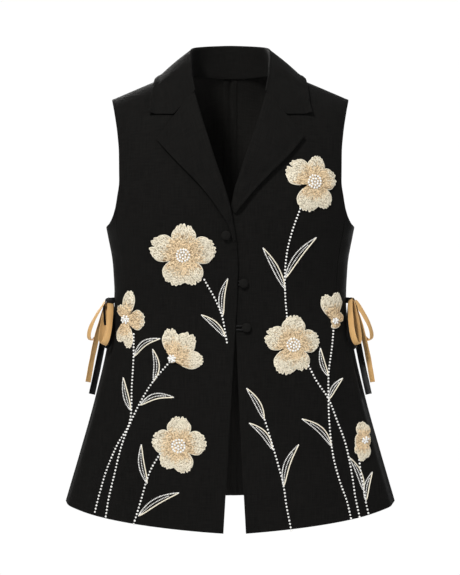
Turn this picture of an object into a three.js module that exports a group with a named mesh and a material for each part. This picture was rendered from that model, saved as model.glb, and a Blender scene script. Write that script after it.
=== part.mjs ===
// A sleeveless long waistcoat in its worn, hollow form: tailored collar and lapels, wrapped
// front with covered buttons, side slits closed at the waist by ribbon bows.
// Millimetres, +Z up, front towards -Y. The origin is the middle of the neck at the height
// where the collar meets the shoulders; the wearer's right side is at -X.
import * as THREE from 'three';

// ---- driving dimensions -------------------------------------------------------------------
const CLOTH = 1.6;             // wall of a panel
const SEAM_GAP = 0.3;          // clear space between two pieces at a seam
const ROUNDNESS = 2.4;         // exponent of the body rings: 2 is an ellipse, more is squarer
const DOME_BASE = -150;        // height at which the shoulders start to round over
const SHOULDER_FALL = 0.42;    // how far the shoulder line drops for each millimetre outwards
const NECK_REACH = 111;        // distance from the middle at which the shoulder line crosses z = 0
const NECK_X = 61.5;           // neck point of the shoulder seam
const NECK_DROP = 20;          // how far the back neck is cut below the shoulder line
const TIE_LEVEL = -345;        // waist: the side seams end here and the slits begin
const HEM_FRONT = -677.7;      // hem at the centre front
const HEM_BACK = -664;         // hem at the centre back
const HEM_RISE_FRONT = 31.7;   // how much higher the hem is at the slit than at the centre
const HEM_RISE_BACK = 16;
const BUTTON_RADIUS = 6.8;
const BUTTON_HEIGHT = 6.8;
const SHANK_HEIGHT = 3.6;
const LOOP_CORD_RADIUS = 0.75;
const RIBBON_WIDTH = 10;
const RIBBON_THICK = 1;

const BLACK_CLOTH = { color: 0x17161a, roughness: 0.9, metalness: 0 };
const BLACK_RIBBON = { color: 0x08080a, roughness: 0.5, metalness: 0 };
const TAN_RIBBON = { color: 0xc99a5c, roughness: 0.45, metalness: 0 };

// Body rings: half width, depth in front and behind, and how far the widest line sits back.
const RINGS = [
  { level: -700, half: 272, front: 140, back: 124, shift: 0 },
  { level: -653, half: 258, front: 137, back: 119, shift: 0 },
  { level: -575, half: 234, front: 129, back: 110, shift: 0 },
  { level: -497, half: 211, front: 121, back: 100, shift: 0 },
  { level: -418, half: 191.5, front: 112, back: 92, shift: 0 },
  { level: -345, half: 178.7, front: 107, back: 87, shift: 0 },
  { level: -290, half: 181, front: 112, back: 90, shift: 0 },
  { level: -229, half: 191.4, front: 122, back: 98, shift: 2 },
  { level: -190, half: 196, front: 124, back: 102, shift: 4 },
  { level: -150, half: 199, front: 122, back: 104, shift: 6 },
  { level: 0, half: 203, front: 122, back: 104, shift: 12 },
];

// Outer edge of a front, as an angle round the body from the centre front: slit, side seam
// and armhole. The back's is counted from the centre front too.
const FRONT_SIDE = [
  { level: -678, angle: 75.4 }, { level: -497, angle: 79 }, { level: -400, angle: 82.5 },
  { level: -345, angle: 88.5 }, { level: -320, angle: 89.9 }, { level: -231, angle: 89.9 },
  { level: -229, angle: 80 }, { level: -226, angle: 72 }, { level: -215, angle: 64 },
  { level: -203, angle: 60 }, { level: -190, angle: 57.5 }, { level: -162, angle: 54 },
  { level: -120, angle: 53.6 }, { level: -92, angle: 54.6 }, { level: -42, angle: 58.3 },
  { level: 0, angle: 62.5 },
];
const BACK_SIDE = [
  { level: -678, angle: 101 }, { level: -497, angle: 98 }, { level: -400, angle: 95 },
  { level: -345, angle: 91.5 }, { level: -320, angle: 90.1 }, { level: -231, angle: 90.1 },
  { level: -229, angle: 101 }, { level: -223, angle: 109 }, { level: -211, angle: 116 },
  { level: -195, angle: 121 }, { level: -165, angle: 125.5 }, { level: -120, angle: 127 },
  { level: -92, angle: 126 }, { level: -42, angle: 121.7 }, { level: 0, angle: 117.5 },
];

// Closing edge and roll line of each front: distance from the middle, on the wearer's left.
const RIGHT_EDGE = [
  { level: -678, x: -10 }, { level: -543, x: -2 }, { level: -435, x: 4.4 },
  { level: -345, x: 9.7 }, { level: -297, x: 11.2 }, { level: -253, x: 8.8 },
  { level: -206, x: 0.3 }, { level: -168, x: -11.2 }, { level: -103, x: -33.6 },
  { level: -47, x: -53.5 }, { level: -15, x: -60 }, { level: 0, x: -NECK_X },
];
const LEFT_EDGE = [
  { level: -678, x: 22.4 }, { level: -543, x: 15.1 }, { level: -454, x: 11 },
  { level: -400, x: 8.8 }, { level: -316, x: 1 }, { level: -245, x: -3.5 },
  { level: -208, x: 0 }, { level: -180, x: 6.1 }, { level: -136, x: 20.5 },
  { level: -103, x: 33.6 }, { level: -47, x: 53.5 }, { level: -15, x: 60 },
  { level: 0, x: NECK_X },
];

// The underlap: how deep the left front is tucked in beneath the right one.
const UNDERLAP = { depth: 2.9, hidden: 13, free: 30, top: -186, full: -212, fade: -392, end: -450 };

// Soft folds that fall from the ties, as ridges (and one trough) along the skirt.
const FOLDS = [
  { side: -1, angle: 66, spread: 6, height: 4, top: -365, bottom: -678 },
  { side: -1, angle: 126, spread: 9, height: 6, top: -360, bottom: -678 },
  { side: 1, angle: 64, spread: 5, height: 4, top: -362, bottom: -678 },
  { side: 1, angle: 73, spread: 3, height: -2.5, top: -360, bottom: -520 },
  { side: 1, angle: 122, spread: 8, height: 5.5, top: -360, bottom: -678 },
  { side: 1, angle: 153, spread: 10, height: 5, top: -370, bottom: -678 },
  { side: -1, angle: 155, spread: 11, height: 4.5, top: -372, bottom: -678 },
];

// A lapel from its break up to the gorge seam: roll line and outer edge, seen from the front.
const RIGHT_LAPEL = [
  { rollX: 7.6, rollZ: -254, edgeX: 4.2, edgeZ: -256 },
  { rollX: 3.6, rollZ: -229, edgeX: -3, edgeZ: -232 },
  { rollX: -0.5, rollZ: -206, edgeX: -15, edgeZ: -213 },
  { rollX: -11.6, rollZ: -168, edgeX: -36, edgeZ: -184 },
  { rollX: -22.6, rollZ: -136, edgeX: -60, edgeZ: -157 },
  { rollX: -33.8, rollZ: -100, edgeX: -84, edgeZ: -132 },
  { rollX: -45, rollZ: -64, edgeX: -99, edgeZ: -115.5 },
  { rollX: -54, rollZ: -32, edgeX: -108, edgeZ: -104.5 },
];
const LEFT_LAPEL = [
  { rollX: 4.8, rollZ: -213, edgeX: 8, edgeZ: -214 },
  { rollX: 4, rollZ: -202, edgeX: 17, edgeZ: -202 },
  { rollX: 6.6, rollZ: -180, edgeX: 36, edgeZ: -180 },
  { rollX: 11.4, rollZ: -165, edgeX: 49, edgeZ: -166 },
  { rollX: 20.9, rollZ: -136, edgeX: 66, edgeZ: -148 },
  { rollX: 33.8, rollZ: -100, edgeX: 85, edgeZ: -129 },
  { rollX: 45, rollZ: -64, edgeX: 98.5, edgeZ: -113 },
  { rollX: 54, rollZ: -32, edgeX: 107.5, edgeZ: -101.2 },
];

// The collar from its front end to the centre back: fold line, outer edge of the leaf, and
// the neck seam below the fold.
const COLLAR = [
  { fold: [53.5, -88, -25.8], edge: [122.3, -82, -63], seam: [55.5, -78, -31] },
  { fold: [59, -57, -1], edge: [118.5, -66, -42], seam: [59.5, -52, -4] },
  { fold: [61.5, -28, 24], edge: [116, -42, -20], seam: [61, -27, 11] },
  { fold: [62, 2, 44], edge: [113, 2, 1], seam: [62, 2, 21.5] },
  { fold: [57, 30, 53], edge: [103, 37, 0], seam: [58, 28, 20] },
  { fold: [40, 53, 59], edge: [72, 63, -3], seam: [42, 45, 19] },
  { fold: [19, 64, 62], edge: [34, 78, -6], seam: [20, 59.5, 17.5] },
  { fold: [0, 67, 63], edge: [0, 82, -8], seam: [0, 64, 16.5] },
];
const NOTCH = { x: 82.2, z: -63.6 };   // inner corner between the collar and the lapel

const BUTTONS = [
  { name: 'button_upper', x: -6.4, z: -245.5 },
  { name: 'button_middle', x: 19.4, z: -315.8 },
  { name: 'button_lower', x: 23.4, z: -381.8 },
];

// Bow pieces on the wearer's left, mirrored on the right. A loop runs from the knot to its
// tip and back; "full" is half its spread and "turn" the plan angle of the spread.
const BOW_LOOPS = [
  { name: 'tan_loop_outer', from: [191.5, -15, -352], tip: [217, -30, -404], full: 11, turn: -40, tan: true },
  { name: 'tan_loop_inner', from: [187.5, -47, -352], tip: [184.5, -76, -408], full: 11, turn: -117, tan: true },
  { name: 'black_loop', from: [183.5, -34, -353], tip: [187, -60, -415], full: 11.5, turn: -150, tan: false },
];
const BOW_TAILS = [
  { name: 'tan_tail', turn: 45, tan: true,
    path: [[196, -27, -353], [202, -33, -392], [209, -37, -425], [216, -41, -466]] },
  { name: 'black_tail', turn: 22, tan: false,
    path: [[191, 4, -352], [195.5, -13, -400], [202, -25, -440], [211, -33, -485]] },
];
const KNOT = { x: 186, y: -17, z: -343, wide: 5.6, deep: 8, high: 6 };

// ---- small helpers ------------------------------------------------------------------------
const radians = THREE.MathUtils.degToRad;
const clamp = THREE.MathUtils.clamp;
const smooth = (t) => THREE.MathUtils.smoothstep(t, 0, 1);
const mix = THREE.MathUtils.lerp;

/** Value of a column at a level, by a monotone cubic through the table's rows. */
function column(table, key, level) {
  const last = table.length - 1;
  const at = clamp(level, table[0].level, table[last].level);
  let i = 0;
  while (i < last - 1 && table[i + 1].level < at) i += 1;
  const slope = (k) => (table[k + 1][key] - table[k][key]) / (table[k + 1].level - table[k].level);
  const tangent = (k) => {
    if (k <= 0) return slope(0);
    if (k >= last) return slope(last - 1);
    const before = slope(k - 1);
    const after = slope(k);
    return before * after <= 0 ? 0 : 2 * before * after / (before + after);
  };
  const span = table[i + 1].level - table[i].level;
  const t = (at - table[i].level) / span;
  return (1 + 2 * t) * (1 - t) ** 2 * table[i][key] + t * (1 - t) ** 2 * span * tangent(i)
    + t * t * (3 - 2 * t) * table[i + 1][key] + t * t * (t - 1) * span * tangent(i + 1);
}

/** A curve through the points of a table's rows; asks for t from 0 to 1. */
function throughPoints(points) {
  return new THREE.CatmullRomCurve3(points.map((p) => new THREE.Vector3(...p)), false, 'centripetal');
}

// ---- the worn form ------------------------------------------------------------------------

/** Height on the figure: below the dome a plain level, above it an angle over the shoulder. */
function stage(height) {
  if (height <= DOME_BASE) return { level: height, depth: 1, over: 0 };
  const lift = clamp((height - DOME_BASE) / -DOME_BASE, 0, 1);
  const turn = lift * Math.PI / 2;
  const over = Math.sin(turn) ** 2;
  return { level: DOME_BASE * (1 - Math.sin(turn)), depth: Math.cos(turn), over };
}

/** Point of the outer cloth: angle in degrees from the centre front, left side positive. */
function formPoint(angle, height) {
  const { level, depth, over } = stage(height);
  const side = Math.sign(angle) || 1;
  const turn = radians(Math.abs(angle));
  const half = column(RINGS, 'half', level);
  const reach = column(RINGS, Math.cos(turn) >= 0 ? 'front' : 'back', level) * depth;
  const x = half * Math.abs(Math.sin(turn)) ** (2 / ROUNDNESS);
  const y = -reach * Math.sign(Math.cos(turn)) * Math.abs(Math.cos(turn)) ** (2 / ROUNDNESS);
  return new THREE.Vector3(side * x, y + column(RINGS, 'shift', level),
    level - over * SHOULDER_FALL * (x - NECK_REACH));
}

/** Outward unit normal of the form at an angle and height. */
function formNormal(angle, height) {
  const step = 0.5;
  const top = Math.min(height + step, -0.01);
  const along = formPoint(angle + step, height).sub(formPoint(angle - step, height));
  const up = formPoint(angle, top).sub(formPoint(angle, height - step));
  return along.cross(up).normalize();
}

/** Height of the soft folds, and of the tuck under the right front, at a place on the form. */
function relief(angle, height, tucked) {
  let out = 0;
  for (const fold of FOLDS) {
    const near = Math.sign(angle) === fold.side ? (Math.abs(angle) - fold.angle) / fold.spread : 9;
    const grow = smooth((fold.top - height) / 140);
    const keep = smooth((height - fold.bottom) / 60 + (fold.bottom < HEM_BACK ? 1 : 0));
    out += fold.height * Math.exp(-near * near) * grow * keep;
  }
  if (tucked) {
    const { x } = formPoint(angle, height);
    const across = 1 - smooth((x - UNDERLAP.hidden) / (UNDERLAP.free - UNDERLAP.hidden));
    const down = smooth((UNDERLAP.top - height) / (UNDERLAP.top - UNDERLAP.full));
    const up = smooth((height - UNDERLAP.end) / (UNDERLAP.fade - UNDERLAP.end));
    out -= UNDERLAP.depth * across * down * up;
  }
  return out;
}

/** Angle round the body of a point at distance x from the middle. */
function angleOf(x, level) {
  const share = Math.min(Math.abs(x) / column(RINGS, 'half', level), 1) ** (ROUNDNESS / 2);
  return Math.sign(x) * THREE.MathUtils.radToDeg(Math.asin(share));
}

/** Point over the front, found from its place seen from the front, raised off the cloth. */
function onFront(x, z, raise, tucked = false) {
  let low = -700;
  let high = -0.01;
  for (let i = 0; i < 40; i += 1) {
    const middle = (low + high) / 2;
    const { level, over } = stage(middle);
    if (level - over * SHOULDER_FALL * (Math.abs(x) - NECK_REACH) < z) low = middle;
    else high = middle;
  }
  const height = (low + high) / 2;
  const angle = angleOf(x, stage(height).level);
  const normal = formNormal(angle, height);
  return formPoint(angle, height).addScaledVector(normal, raise + relief(angle, height, tucked));
}

/** Rough distance from the form, positive outside, for points near the shoulders and neck. */
function clearance(p) {
  const value = (q) => {
    let level = q.z;
    for (let i = 0; i < 12; i += 1) {
      const over = Math.max(0, 1 - level / DOME_BASE) ** 2;
      level = q.z + over * SHOULDER_FALL * (Math.abs(q.x) - NECK_REACH);
    }
    const at = clamp(level, -700, 0);
    const reach = column(RINGS, q.y < column(RINGS, 'shift', at) ? 'front' : 'back', at);
    const wide = Math.min(Math.abs(q.x) / column(RINGS, 'half', at), 0.99);
    const deep = Math.abs(q.y - column(RINGS, 'shift', at)) / (reach * (1 - wide ** ROUNDNESS) ** (1 / ROUNDNESS));
    return Math.hypot(deep, Math.max(0, 1 - level / DOME_BASE)) - 1;
  };
  const step = 0.5;
  const here = value(p);
  const slope = new THREE.Vector3(
    value(p.clone().add(new THREE.Vector3(step, 0, 0))) - value(p.clone().sub(new THREE.Vector3(step, 0, 0))),
    value(p.clone().add(new THREE.Vector3(0, step, 0))) - value(p.clone().sub(new THREE.Vector3(0, step, 0))),
    value(p.clone().add(new THREE.Vector3(0, 0, step))) - value(p.clone().sub(new THREE.Vector3(0, 0, step))),
  ).divideScalar(2 * step);
  return { distance: here / slope.length(), away: slope.normalize() };
}

/** Moves a point out until it is at least a gap away from the form. */
function keepClear(p, gap) {
  const q = p.clone();
  for (let i = 0; i < 4; i += 1) {
    const { distance, away } = clearance(q);
    if (distance < gap) q.addScaledVector(away, gap - distance);
  }
  return q;
}

// ---- meshes -------------------------------------------------------------------------------

/** A closed wall between two grids of points, outer[i][j] and inner[i][j]. */
function wallGeometry(outer, inner) {
  const rows = outer.length;
  const cols = outer[0].length;
  const positions = [...outer.flat(), ...inner.flat()].flatMap((p) => [p.x, p.y, p.z]);
  const offset = rows * cols;
  const index = [];
  const quad = (a, b, c, d) => index.push(a, b, c, a, c, d);
  for (let i = 0; i < rows - 1; i += 1) {
    for (let j = 0; j < cols - 1; j += 1) {
      const a = i * cols + j;
      quad(a, a + 1, a + cols + 1, a + cols);
      quad(offset + a, offset + a + cols, offset + a + cols + 1, offset + a + 1);
    }
  }
  const rim = [];
  for (let j = 0; j < cols - 1; j += 1) rim.push(j);
  for (let i = 0; i < rows - 1; i += 1) rim.push(i * cols + cols - 1);
  for (let j = cols - 1; j > 0; j -= 1) rim.push((rows - 1) * cols + j);
  for (let i = rows - 1; i > 0; i -= 1) rim.push(i * cols);
  rim.forEach((a, k) => {
    const b = rim[(k + 1) % rim.length];
    quad(b, a, offset + a, offset + b);
  });
  return oriented(positions, index);
}

/** A geometry from points and triangles, turned so that its faces point out. */
function oriented(positions, index) {
  let volume = 0;
  const v = (k) => new THREE.Vector3().fromArray(positions, 3 * k);
  for (let k = 0; k < index.length; k += 3) {
    volume += v(index[k]).dot(v(index[k + 1]).cross(v(index[k + 2])));
  }
  const turned = volume > 0 ? index : index.map((n, k) => index[k + (k % 3 === 1 ? 1 : k % 3 === 2 ? -1 : 0)]);
  const geometry = new THREE.BufferGeometry();
  geometry.setAttribute('position', new THREE.Float32BufferAttribute(positions, 3));
  geometry.setIndex(turned);
  return geometry;
}

/** A wall from a grid of middle points, with its thickness laid to both sides. */
function sheetGeometry(grid, thick) {
  const rows = grid.length;
  const cols = grid[0].length;
  const normalAt = (i, j) => {
    const across = grid[i][Math.min(j + 1, cols - 1)].clone().sub(grid[i][Math.max(j - 1, 0)]);
    const along = grid[Math.min(i + 1, rows - 1)][j].clone().sub(grid[Math.max(i - 1, 0)][j]);
    return across.cross(along).normalize();
  };
  const moved = (by) => grid.map((row, i) => row.map((p, j) => p.clone().addScaledVector(normalAt(i, j), by)));
  return wallGeometry(moved(thick / 2), moved(-thick / 2));
}

const waistcoat = new THREE.Group();

function addPiece(name, geometry, finish) {
  const mesh = new THREE.Mesh(geometry, new THREE.MeshStandardMaterial(finish));
  mesh.name = name;
  waistcoat.add(mesh);
  return mesh;
}

// ---- fronts and backs ---------------------------------------------------------------------

// Rows of a panel from hem to shoulder: finer round the foot of the armhole.
const PANEL_BANDS = [
  { from: -678, to: -400, rows: 5 }, { from: -400, to: -320, rows: 3 },
  { from: -320, to: -231, rows: 3 }, { from: -231, to: -190, rows: 4 },
  { from: -190, to: -0.2, rows: 8 },
];
const PANEL_COLUMNS = 11;
const COLUMN_CROWDING = 1.5;   // more than 1 draws the columns towards the middle edge

/** Heights of a panel's rows. */
function panelHeights() {
  const heights = [PANEL_BANDS[0].from];
  for (const band of PANEL_BANDS) {
    for (let k = 1; k <= band.rows; k += 1) heights.push(mix(band.from, band.to, k / band.rows));
  }
  return heights;
}

/** One panel: its rows run from the edge near the middle to the edge at the side. */
function panel(name, { nearAngle, farAngle, hem, rise, tucked, middle }) {
  const outer = [];
  const inner = [];
  for (const height of panelHeights()) {
    const down = clamp((TIE_LEVEL - height) / (TIE_LEVEL - PANEL_BANDS[0].from), 0, 1);
    const near = height > TIE_LEVEL ? height : mix(TIE_LEVEL, hem, down);
    const far = near + rise * down ** 1.5;
    const start = nearAngle(stage(near).level);
    const end = farAngle(stage(far).level);
    const outerRow = [];
    const innerRow = [];
    for (let j = 0; j <= PANEL_COLUMNS; j += 1) {
      const share = (j / PANEL_COLUMNS) ** COLUMN_CROWDING;
      const angle = mix(start, end, share);
      const at = mix(near, far, share);
      const normal = formNormal(angle, at);
      const point = formPoint(angle, at).addScaledVector(normal, relief(angle, at, tucked));
      outerRow.push(point);
      const under = point.clone().addScaledVector(normal, -CLOTH);
      if (middle) under.x = middle * Math.max(middle * under.x, SEAM_GAP / 2);
      innerRow.push(under);
    }
    outer.push(outerRow);
    inner.push(innerRow);
  }
  addPiece(name, wallGeometry(outer, inner), BLACK_CLOTH);
}

for (const front of [
  { name: 'front_right', side: -1, edge: RIGHT_EDGE, tucked: false },
  { name: 'front_left', side: 1, edge: LEFT_EDGE, tucked: true },
]) {
  panel(front.name, {
    nearAngle: (level) => angleOf(column(front.edge, 'x', level), level),
    farAngle: (level) => front.side * column(FRONT_SIDE, 'angle', level),
    hem: HEM_FRONT, rise: HEM_RISE_FRONT, tucked: front.tucked, middle: 0,
  });
}

/** Half width of the back neck at a level. */
function backNeck(level) {
  const share = 1 - clamp(-level / NECK_DROP, 0, 1) ** 1.25;
  return Math.max(NECK_X * share, SEAM_GAP / 2);
}

for (const back of [{ name: 'back_right', side: -1 }, { name: 'back_left', side: 1 }]) {
  panel(back.name, {
    nearAngle: (level) => back.side * (180 - angleOf(backNeck(level), level)),
    farAngle: (level) => back.side * column(BACK_SIDE, 'angle', level),
    hem: HEM_BACK, rise: HEM_RISE_BACK, tucked: false, middle: back.side,
  });
}

// ---- lapels -------------------------------------------------------------------------------

const LAPEL_ROWS = 14;
const LAPEL_COLUMNS = 5;
const LAPEL_REST = 2.2;        // height of the lapel's middle layer where it lies on the front
const LAPEL_ROLL = 2.6;        // extra height of the roll beside the fold

for (const lapel of [
  { name: 'lapel_right', table: RIGHT_LAPEL, tucked: false },
  { name: 'lapel_left', table: LEFT_LAPEL, tucked: true },
]) {
  const roll = throughPoints(lapel.table.map((row) => [row.rollX, 0, row.rollZ]));
  const edge = throughPoints(lapel.table.map((row) => [row.edgeX, 0, row.edgeZ]));
  const grid = [];
  for (let i = 0; i <= LAPEL_ROWS; i += 1) {
    const from = roll.getPoint(i / LAPEL_ROWS);
    const to = edge.getPoint(i / LAPEL_ROWS);
    const row = [];
    for (let j = 0; j <= LAPEL_COLUMNS; j += 1) {
      const share = j / LAPEL_COLUMNS;
      const at = from.clone().lerp(to, share);
      const raise = LAPEL_REST + LAPEL_ROLL * Math.exp(-(((share - 0.15) / 0.3) ** 2));
      row.push(onFront(at.x, at.z, raise));
    }
    grid.push(row);
  }
  addPiece(lapel.name, sheetGeometry(grid, CLOTH), BLACK_CLOTH);
}

// ---- collar -------------------------------------------------------------------------------

const COLLAR_STATIONS = 36;    // along the whole collar, front end to front end
const LEAF_COLUMNS = 6;
const STAND_COLUMNS = 3;
const LEAF_CLEAR = 2.4;        // least height of the leaf's middle layer over the cloth
const FOLD_GAP = { down: 2.4, inward: 2.8 };   // from the fold to the top of the stand
const NECK_MIDDLE_Y = 20;

/** A point of the collar at t from one front end (0) over the back (0.5) to the other (1). */
function collarLine(key) {
  const leftToBack = COLLAR.map((row) => row[key]);
  const backToRight = COLLAR.slice(0, -1).reverse().map((row) => row[key]);
  const mirrored = leftToBack.map(([x, y, z]) => [-x, y, z]);
  return throughPoints([...mirrored, ...backToRight]);
}

const foldLine = collarLine('fold');
const leafEdge = collarLine('edge');
const neckSeam = collarLine('seam');

const leafGrid = [];
const standGrid = [];
for (let i = 0; i <= COLLAR_STATIONS; i += 1) {
  const t = i / COLLAR_STATIONS;
  const fold = foldLine.getPoint(t);
  const edge = leafEdge.getPoint(t);
  const nearEnd = 1 - smooth(Math.min(t, 1 - t) / 0.14);
  const side = t < 0.5 ? -1 : 1;
  const leafRow = [];
  for (let j = 0; j <= LEAF_COLUMNS; j += 1) {
    const share = j / LEAF_COLUMNS;
    const at = fold.clone().lerp(edge, share);
    // the front end follows the gorge seam down to the notch, then turns out to the point
    const bend = Math.min(share / 0.5, (1 - share) / 0.5);
    const straight = fold.clone().lerp(edge, 0.5);
    at.x += (side * NOTCH.x - straight.x) * bend * nearEnd;
    at.z += (NOTCH.z - straight.z) * bend * nearEnd;
    at.y -= 4 * bend * nearEnd;
    at.z += 2.5 * Math.sin(Math.PI * share) * (1 - nearEnd);
    leafRow.push(keepClear(at, LEAF_CLEAR));
  }
  leafGrid.push(leafRow);
  const seam = keepClear(neckSeam.getPoint(t), 0.8);
  const inward = new THREE.Vector3(-fold.x, NECK_MIDDLE_Y - fold.y, 0).setLength(FOLD_GAP.inward);
  const top = fold.clone().add(inward).setZ(fold.z - FOLD_GAP.down);
  const standRow = [];
  for (let j = 0; j <= STAND_COLUMNS; j += 1) standRow.push(seam.clone().lerp(top, j / STAND_COLUMNS));
  if (t > 0.12 && t < 0.88) standGrid.push(standRow);
}
addPiece('collar_leaf', sheetGeometry(leafGrid, CLOTH), BLACK_CLOTH);
addPiece('collar_stand', sheetGeometry(standGrid, CLOTH), BLACK_CLOTH);

// ---- buttons and loops --------------------------------------------------------------------

const SHANK_FOOT = 0.8;         // the shank ends clear of the cloth
const LOOP_LIFT = 1.3;          // clear space under a loop cord

/** A covered button on its shank; the axis is +Y and the cloth lies at zero. */
function buttonGeometry() {
  const profile = [new THREE.Vector2(0, SHANK_FOOT), new THREE.Vector2(1.5, SHANK_FOOT),
    new THREE.Vector2(1.5, SHANK_HEIGHT), new THREE.Vector2(BUTTON_RADIUS - 0.8, SHANK_HEIGHT)];
  const steps = 5;
  for (let k = 0; k <= steps; k += 1) {
    const turn = k / steps * Math.PI / 2;
    profile.push(new THREE.Vector2(BUTTON_RADIUS * Math.cos(turn) + (k === steps ? -1e-9 : 0),
      SHANK_HEIGHT + 0.6 + (BUTTON_HEIGHT - SHANK_HEIGHT - 0.6) * Math.sin(turn)));
  }
  profile[profile.length - 1].x = 0;
  return new THREE.LatheGeometry(profile, 18);
}

const UP = new THREE.Vector3(0, 1, 0);
for (const button of BUTTONS) {
  const tucked = button.x > 0;
  const foot = onFront(button.x, button.z, 0, tucked);
  const above = onFront(button.x, button.z, 1, tucked);
  const normal = above.sub(foot).normalize();
  const mesh = addPiece(button.name, buttonGeometry(), BLACK_CLOTH);
  mesh.position.copy(foot);
  mesh.quaternion.setFromUnitVectors(UP, normal);
}

for (const button of BUTTONS.slice(1)) {
  const edge = column(RIGHT_EDGE, 'x', button.z);
  const places = [[edge + 0.8, 2.6], [edge + 3, 2.7], [button.x - 1, 2.9], [button.x + 2.4, 1.6],
    [button.x + 3, 0], [button.x + 2.4, -1.6], [button.x - 1, -2.9], [edge + 3, -2.7], [edge + 0.8, -2.6]];
  const route = places.map(([x, up]) => onFront(x, button.z + up, LOOP_CORD_RADIUS + LOOP_LIFT, true));
  const section = new THREE.Shape();
  section.absarc(0, 0, LOOP_CORD_RADIUS, 0, 2 * Math.PI, false);
  addPiece(`${button.name}_loop`, new THREE.ExtrudeGeometry(section, {
    steps: 22, curveSegments: 4, bevelEnabled: false,
    extrudePath: new THREE.CatmullRomCurve3(route, false, 'centripetal'),
  }), BLACK_RIBBON);
}

// ---- ribbon bows --------------------------------------------------------------------------

/** A flat strip along points, its width along a direction squared up to the path. */
function stripGeometry(points, widthDirection) {
  const last = points.length - 1;
  const grid = points.map((p, i) => {
    const along = points[Math.min(i + 1, last)].clone().sub(points[Math.max(i - 1, 0)]).normalize();
    const wide = widthDirection.clone().addScaledVector(along, -widthDirection.dot(along)).normalize();
    return [-0.5, 0.5].map((k) => p.clone().addScaledVector(wide, k * RIBBON_WIDTH));
  });
  return sheetGeometry(grid, RIBBON_THICK);
}

/** The closed path of a bow loop: out along one strand, round the tip and back. */
function loopPath(from, tip, full, spread) {
  const reach = tip.clone().sub(from);
  const points = [];
  const steps = 20;
  for (let k = 0; k <= steps; k += 1) {
    const turn = 2 * Math.PI * k / steps;
    const out = (1 - Math.cos(turn)) / 2;
    const open = full * Math.sin(turn) * (0.35 + 0.65 * out) + mix(1.3, -1.3, k / steps);
    points.push(from.clone().addScaledVector(reach, out).addScaledVector(spread, open));
  }
  return points;
}

for (const side of [-1, 1]) {
  const mirror = ([x, y, z]) => new THREE.Vector3(side * x, y, z);
  const hand = side < 0 ? 'right' : 'left';
  for (const loop of BOW_LOOPS) {
    const from = mirror(loop.from);
    const tip = mirror(loop.tip);
    const reach = tip.clone().sub(from).normalize();
    const turn = radians(loop.turn);
    const plan = mirror([Math.cos(turn), Math.sin(turn), 0]);
    const spread = plan.addScaledVector(reach, -plan.dot(reach)).normalize();
    const wide = spread.clone().cross(reach).normalize();
    addPiece(`${loop.name}_${hand}`, stripGeometry(loopPath(from, tip, loop.full, spread), wide),
      loop.tan ? TAN_RIBBON : BLACK_RIBBON);
  }
  for (const tail of BOW_TAILS) {
    const curve = throughPoints(tail.path.map(([x, y, z]) => [side * x, y, z]));
    const turn = radians(tail.turn);
    addPiece(`${tail.name}_${hand}`,
      stripGeometry(curve.getPoints(10), mirror([Math.cos(turn), -Math.sin(turn), 0])),
      tail.tan ? TAN_RIBBON : BLACK_RIBBON);
  }
  const knot = addPiece(`knot_${hand}`, new THREE.SphereGeometry(1, 14, 10).scale(KNOT.wide, KNOT.deep, KNOT.high),
    side < 0 ? BLACK_RIBBON : TAN_RIBBON);
  knot.position.set(side * KNOT.x, KNOT.y, KNOT.z);
}

export default waistcoat;
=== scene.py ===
"""A sleeveless long waistcoat in its worn, hollow form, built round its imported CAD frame.

Cloth panels, lapels and collar are closed walls laid on one worn form. The bows, the covered
buttons and the raised straw and bead embroidery are laid on them. Measures in the tables are
millimetres in the row frame: +X is the wearer's left, the front faces -Y, +Z is up.
"""
import math

import bpy
import numpy as np
from bpy.props import FloatProperty, FloatVectorProperty, IntProperty, PointerProperty
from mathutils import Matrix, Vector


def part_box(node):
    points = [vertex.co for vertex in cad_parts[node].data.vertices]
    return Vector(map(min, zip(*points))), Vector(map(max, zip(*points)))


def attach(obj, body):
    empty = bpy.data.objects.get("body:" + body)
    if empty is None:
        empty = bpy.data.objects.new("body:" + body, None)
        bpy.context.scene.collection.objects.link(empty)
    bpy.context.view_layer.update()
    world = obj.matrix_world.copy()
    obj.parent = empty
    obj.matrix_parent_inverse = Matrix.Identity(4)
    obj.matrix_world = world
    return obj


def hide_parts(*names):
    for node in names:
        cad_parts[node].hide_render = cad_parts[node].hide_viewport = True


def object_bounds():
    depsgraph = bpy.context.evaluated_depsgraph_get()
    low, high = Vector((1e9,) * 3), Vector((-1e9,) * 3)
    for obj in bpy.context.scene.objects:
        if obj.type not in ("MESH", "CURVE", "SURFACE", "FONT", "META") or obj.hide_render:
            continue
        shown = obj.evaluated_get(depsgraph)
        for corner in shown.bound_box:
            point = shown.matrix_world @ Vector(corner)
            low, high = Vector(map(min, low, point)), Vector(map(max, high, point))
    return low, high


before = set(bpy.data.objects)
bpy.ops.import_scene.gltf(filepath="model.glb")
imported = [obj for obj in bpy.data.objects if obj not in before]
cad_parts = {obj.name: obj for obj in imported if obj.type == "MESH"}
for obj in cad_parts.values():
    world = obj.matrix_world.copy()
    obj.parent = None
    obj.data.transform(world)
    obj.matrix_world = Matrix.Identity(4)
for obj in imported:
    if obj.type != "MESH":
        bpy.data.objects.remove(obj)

bl_info = {
    "name": "Embroidered Waistcoat",
    "version": (1, 0, 0),
    "blender": (4, 5, 0),
    "location": "View3D > Sidebar > Waistcoat",
    "description": "Cloth, collar, bows and beadwork of a worn waistcoat round its CAD frame",
    "category": "Add Mesh",
}

MM = 0.001                     # the tables' unit, in metres
CAD_BOX = [list(corner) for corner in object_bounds()]

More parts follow.
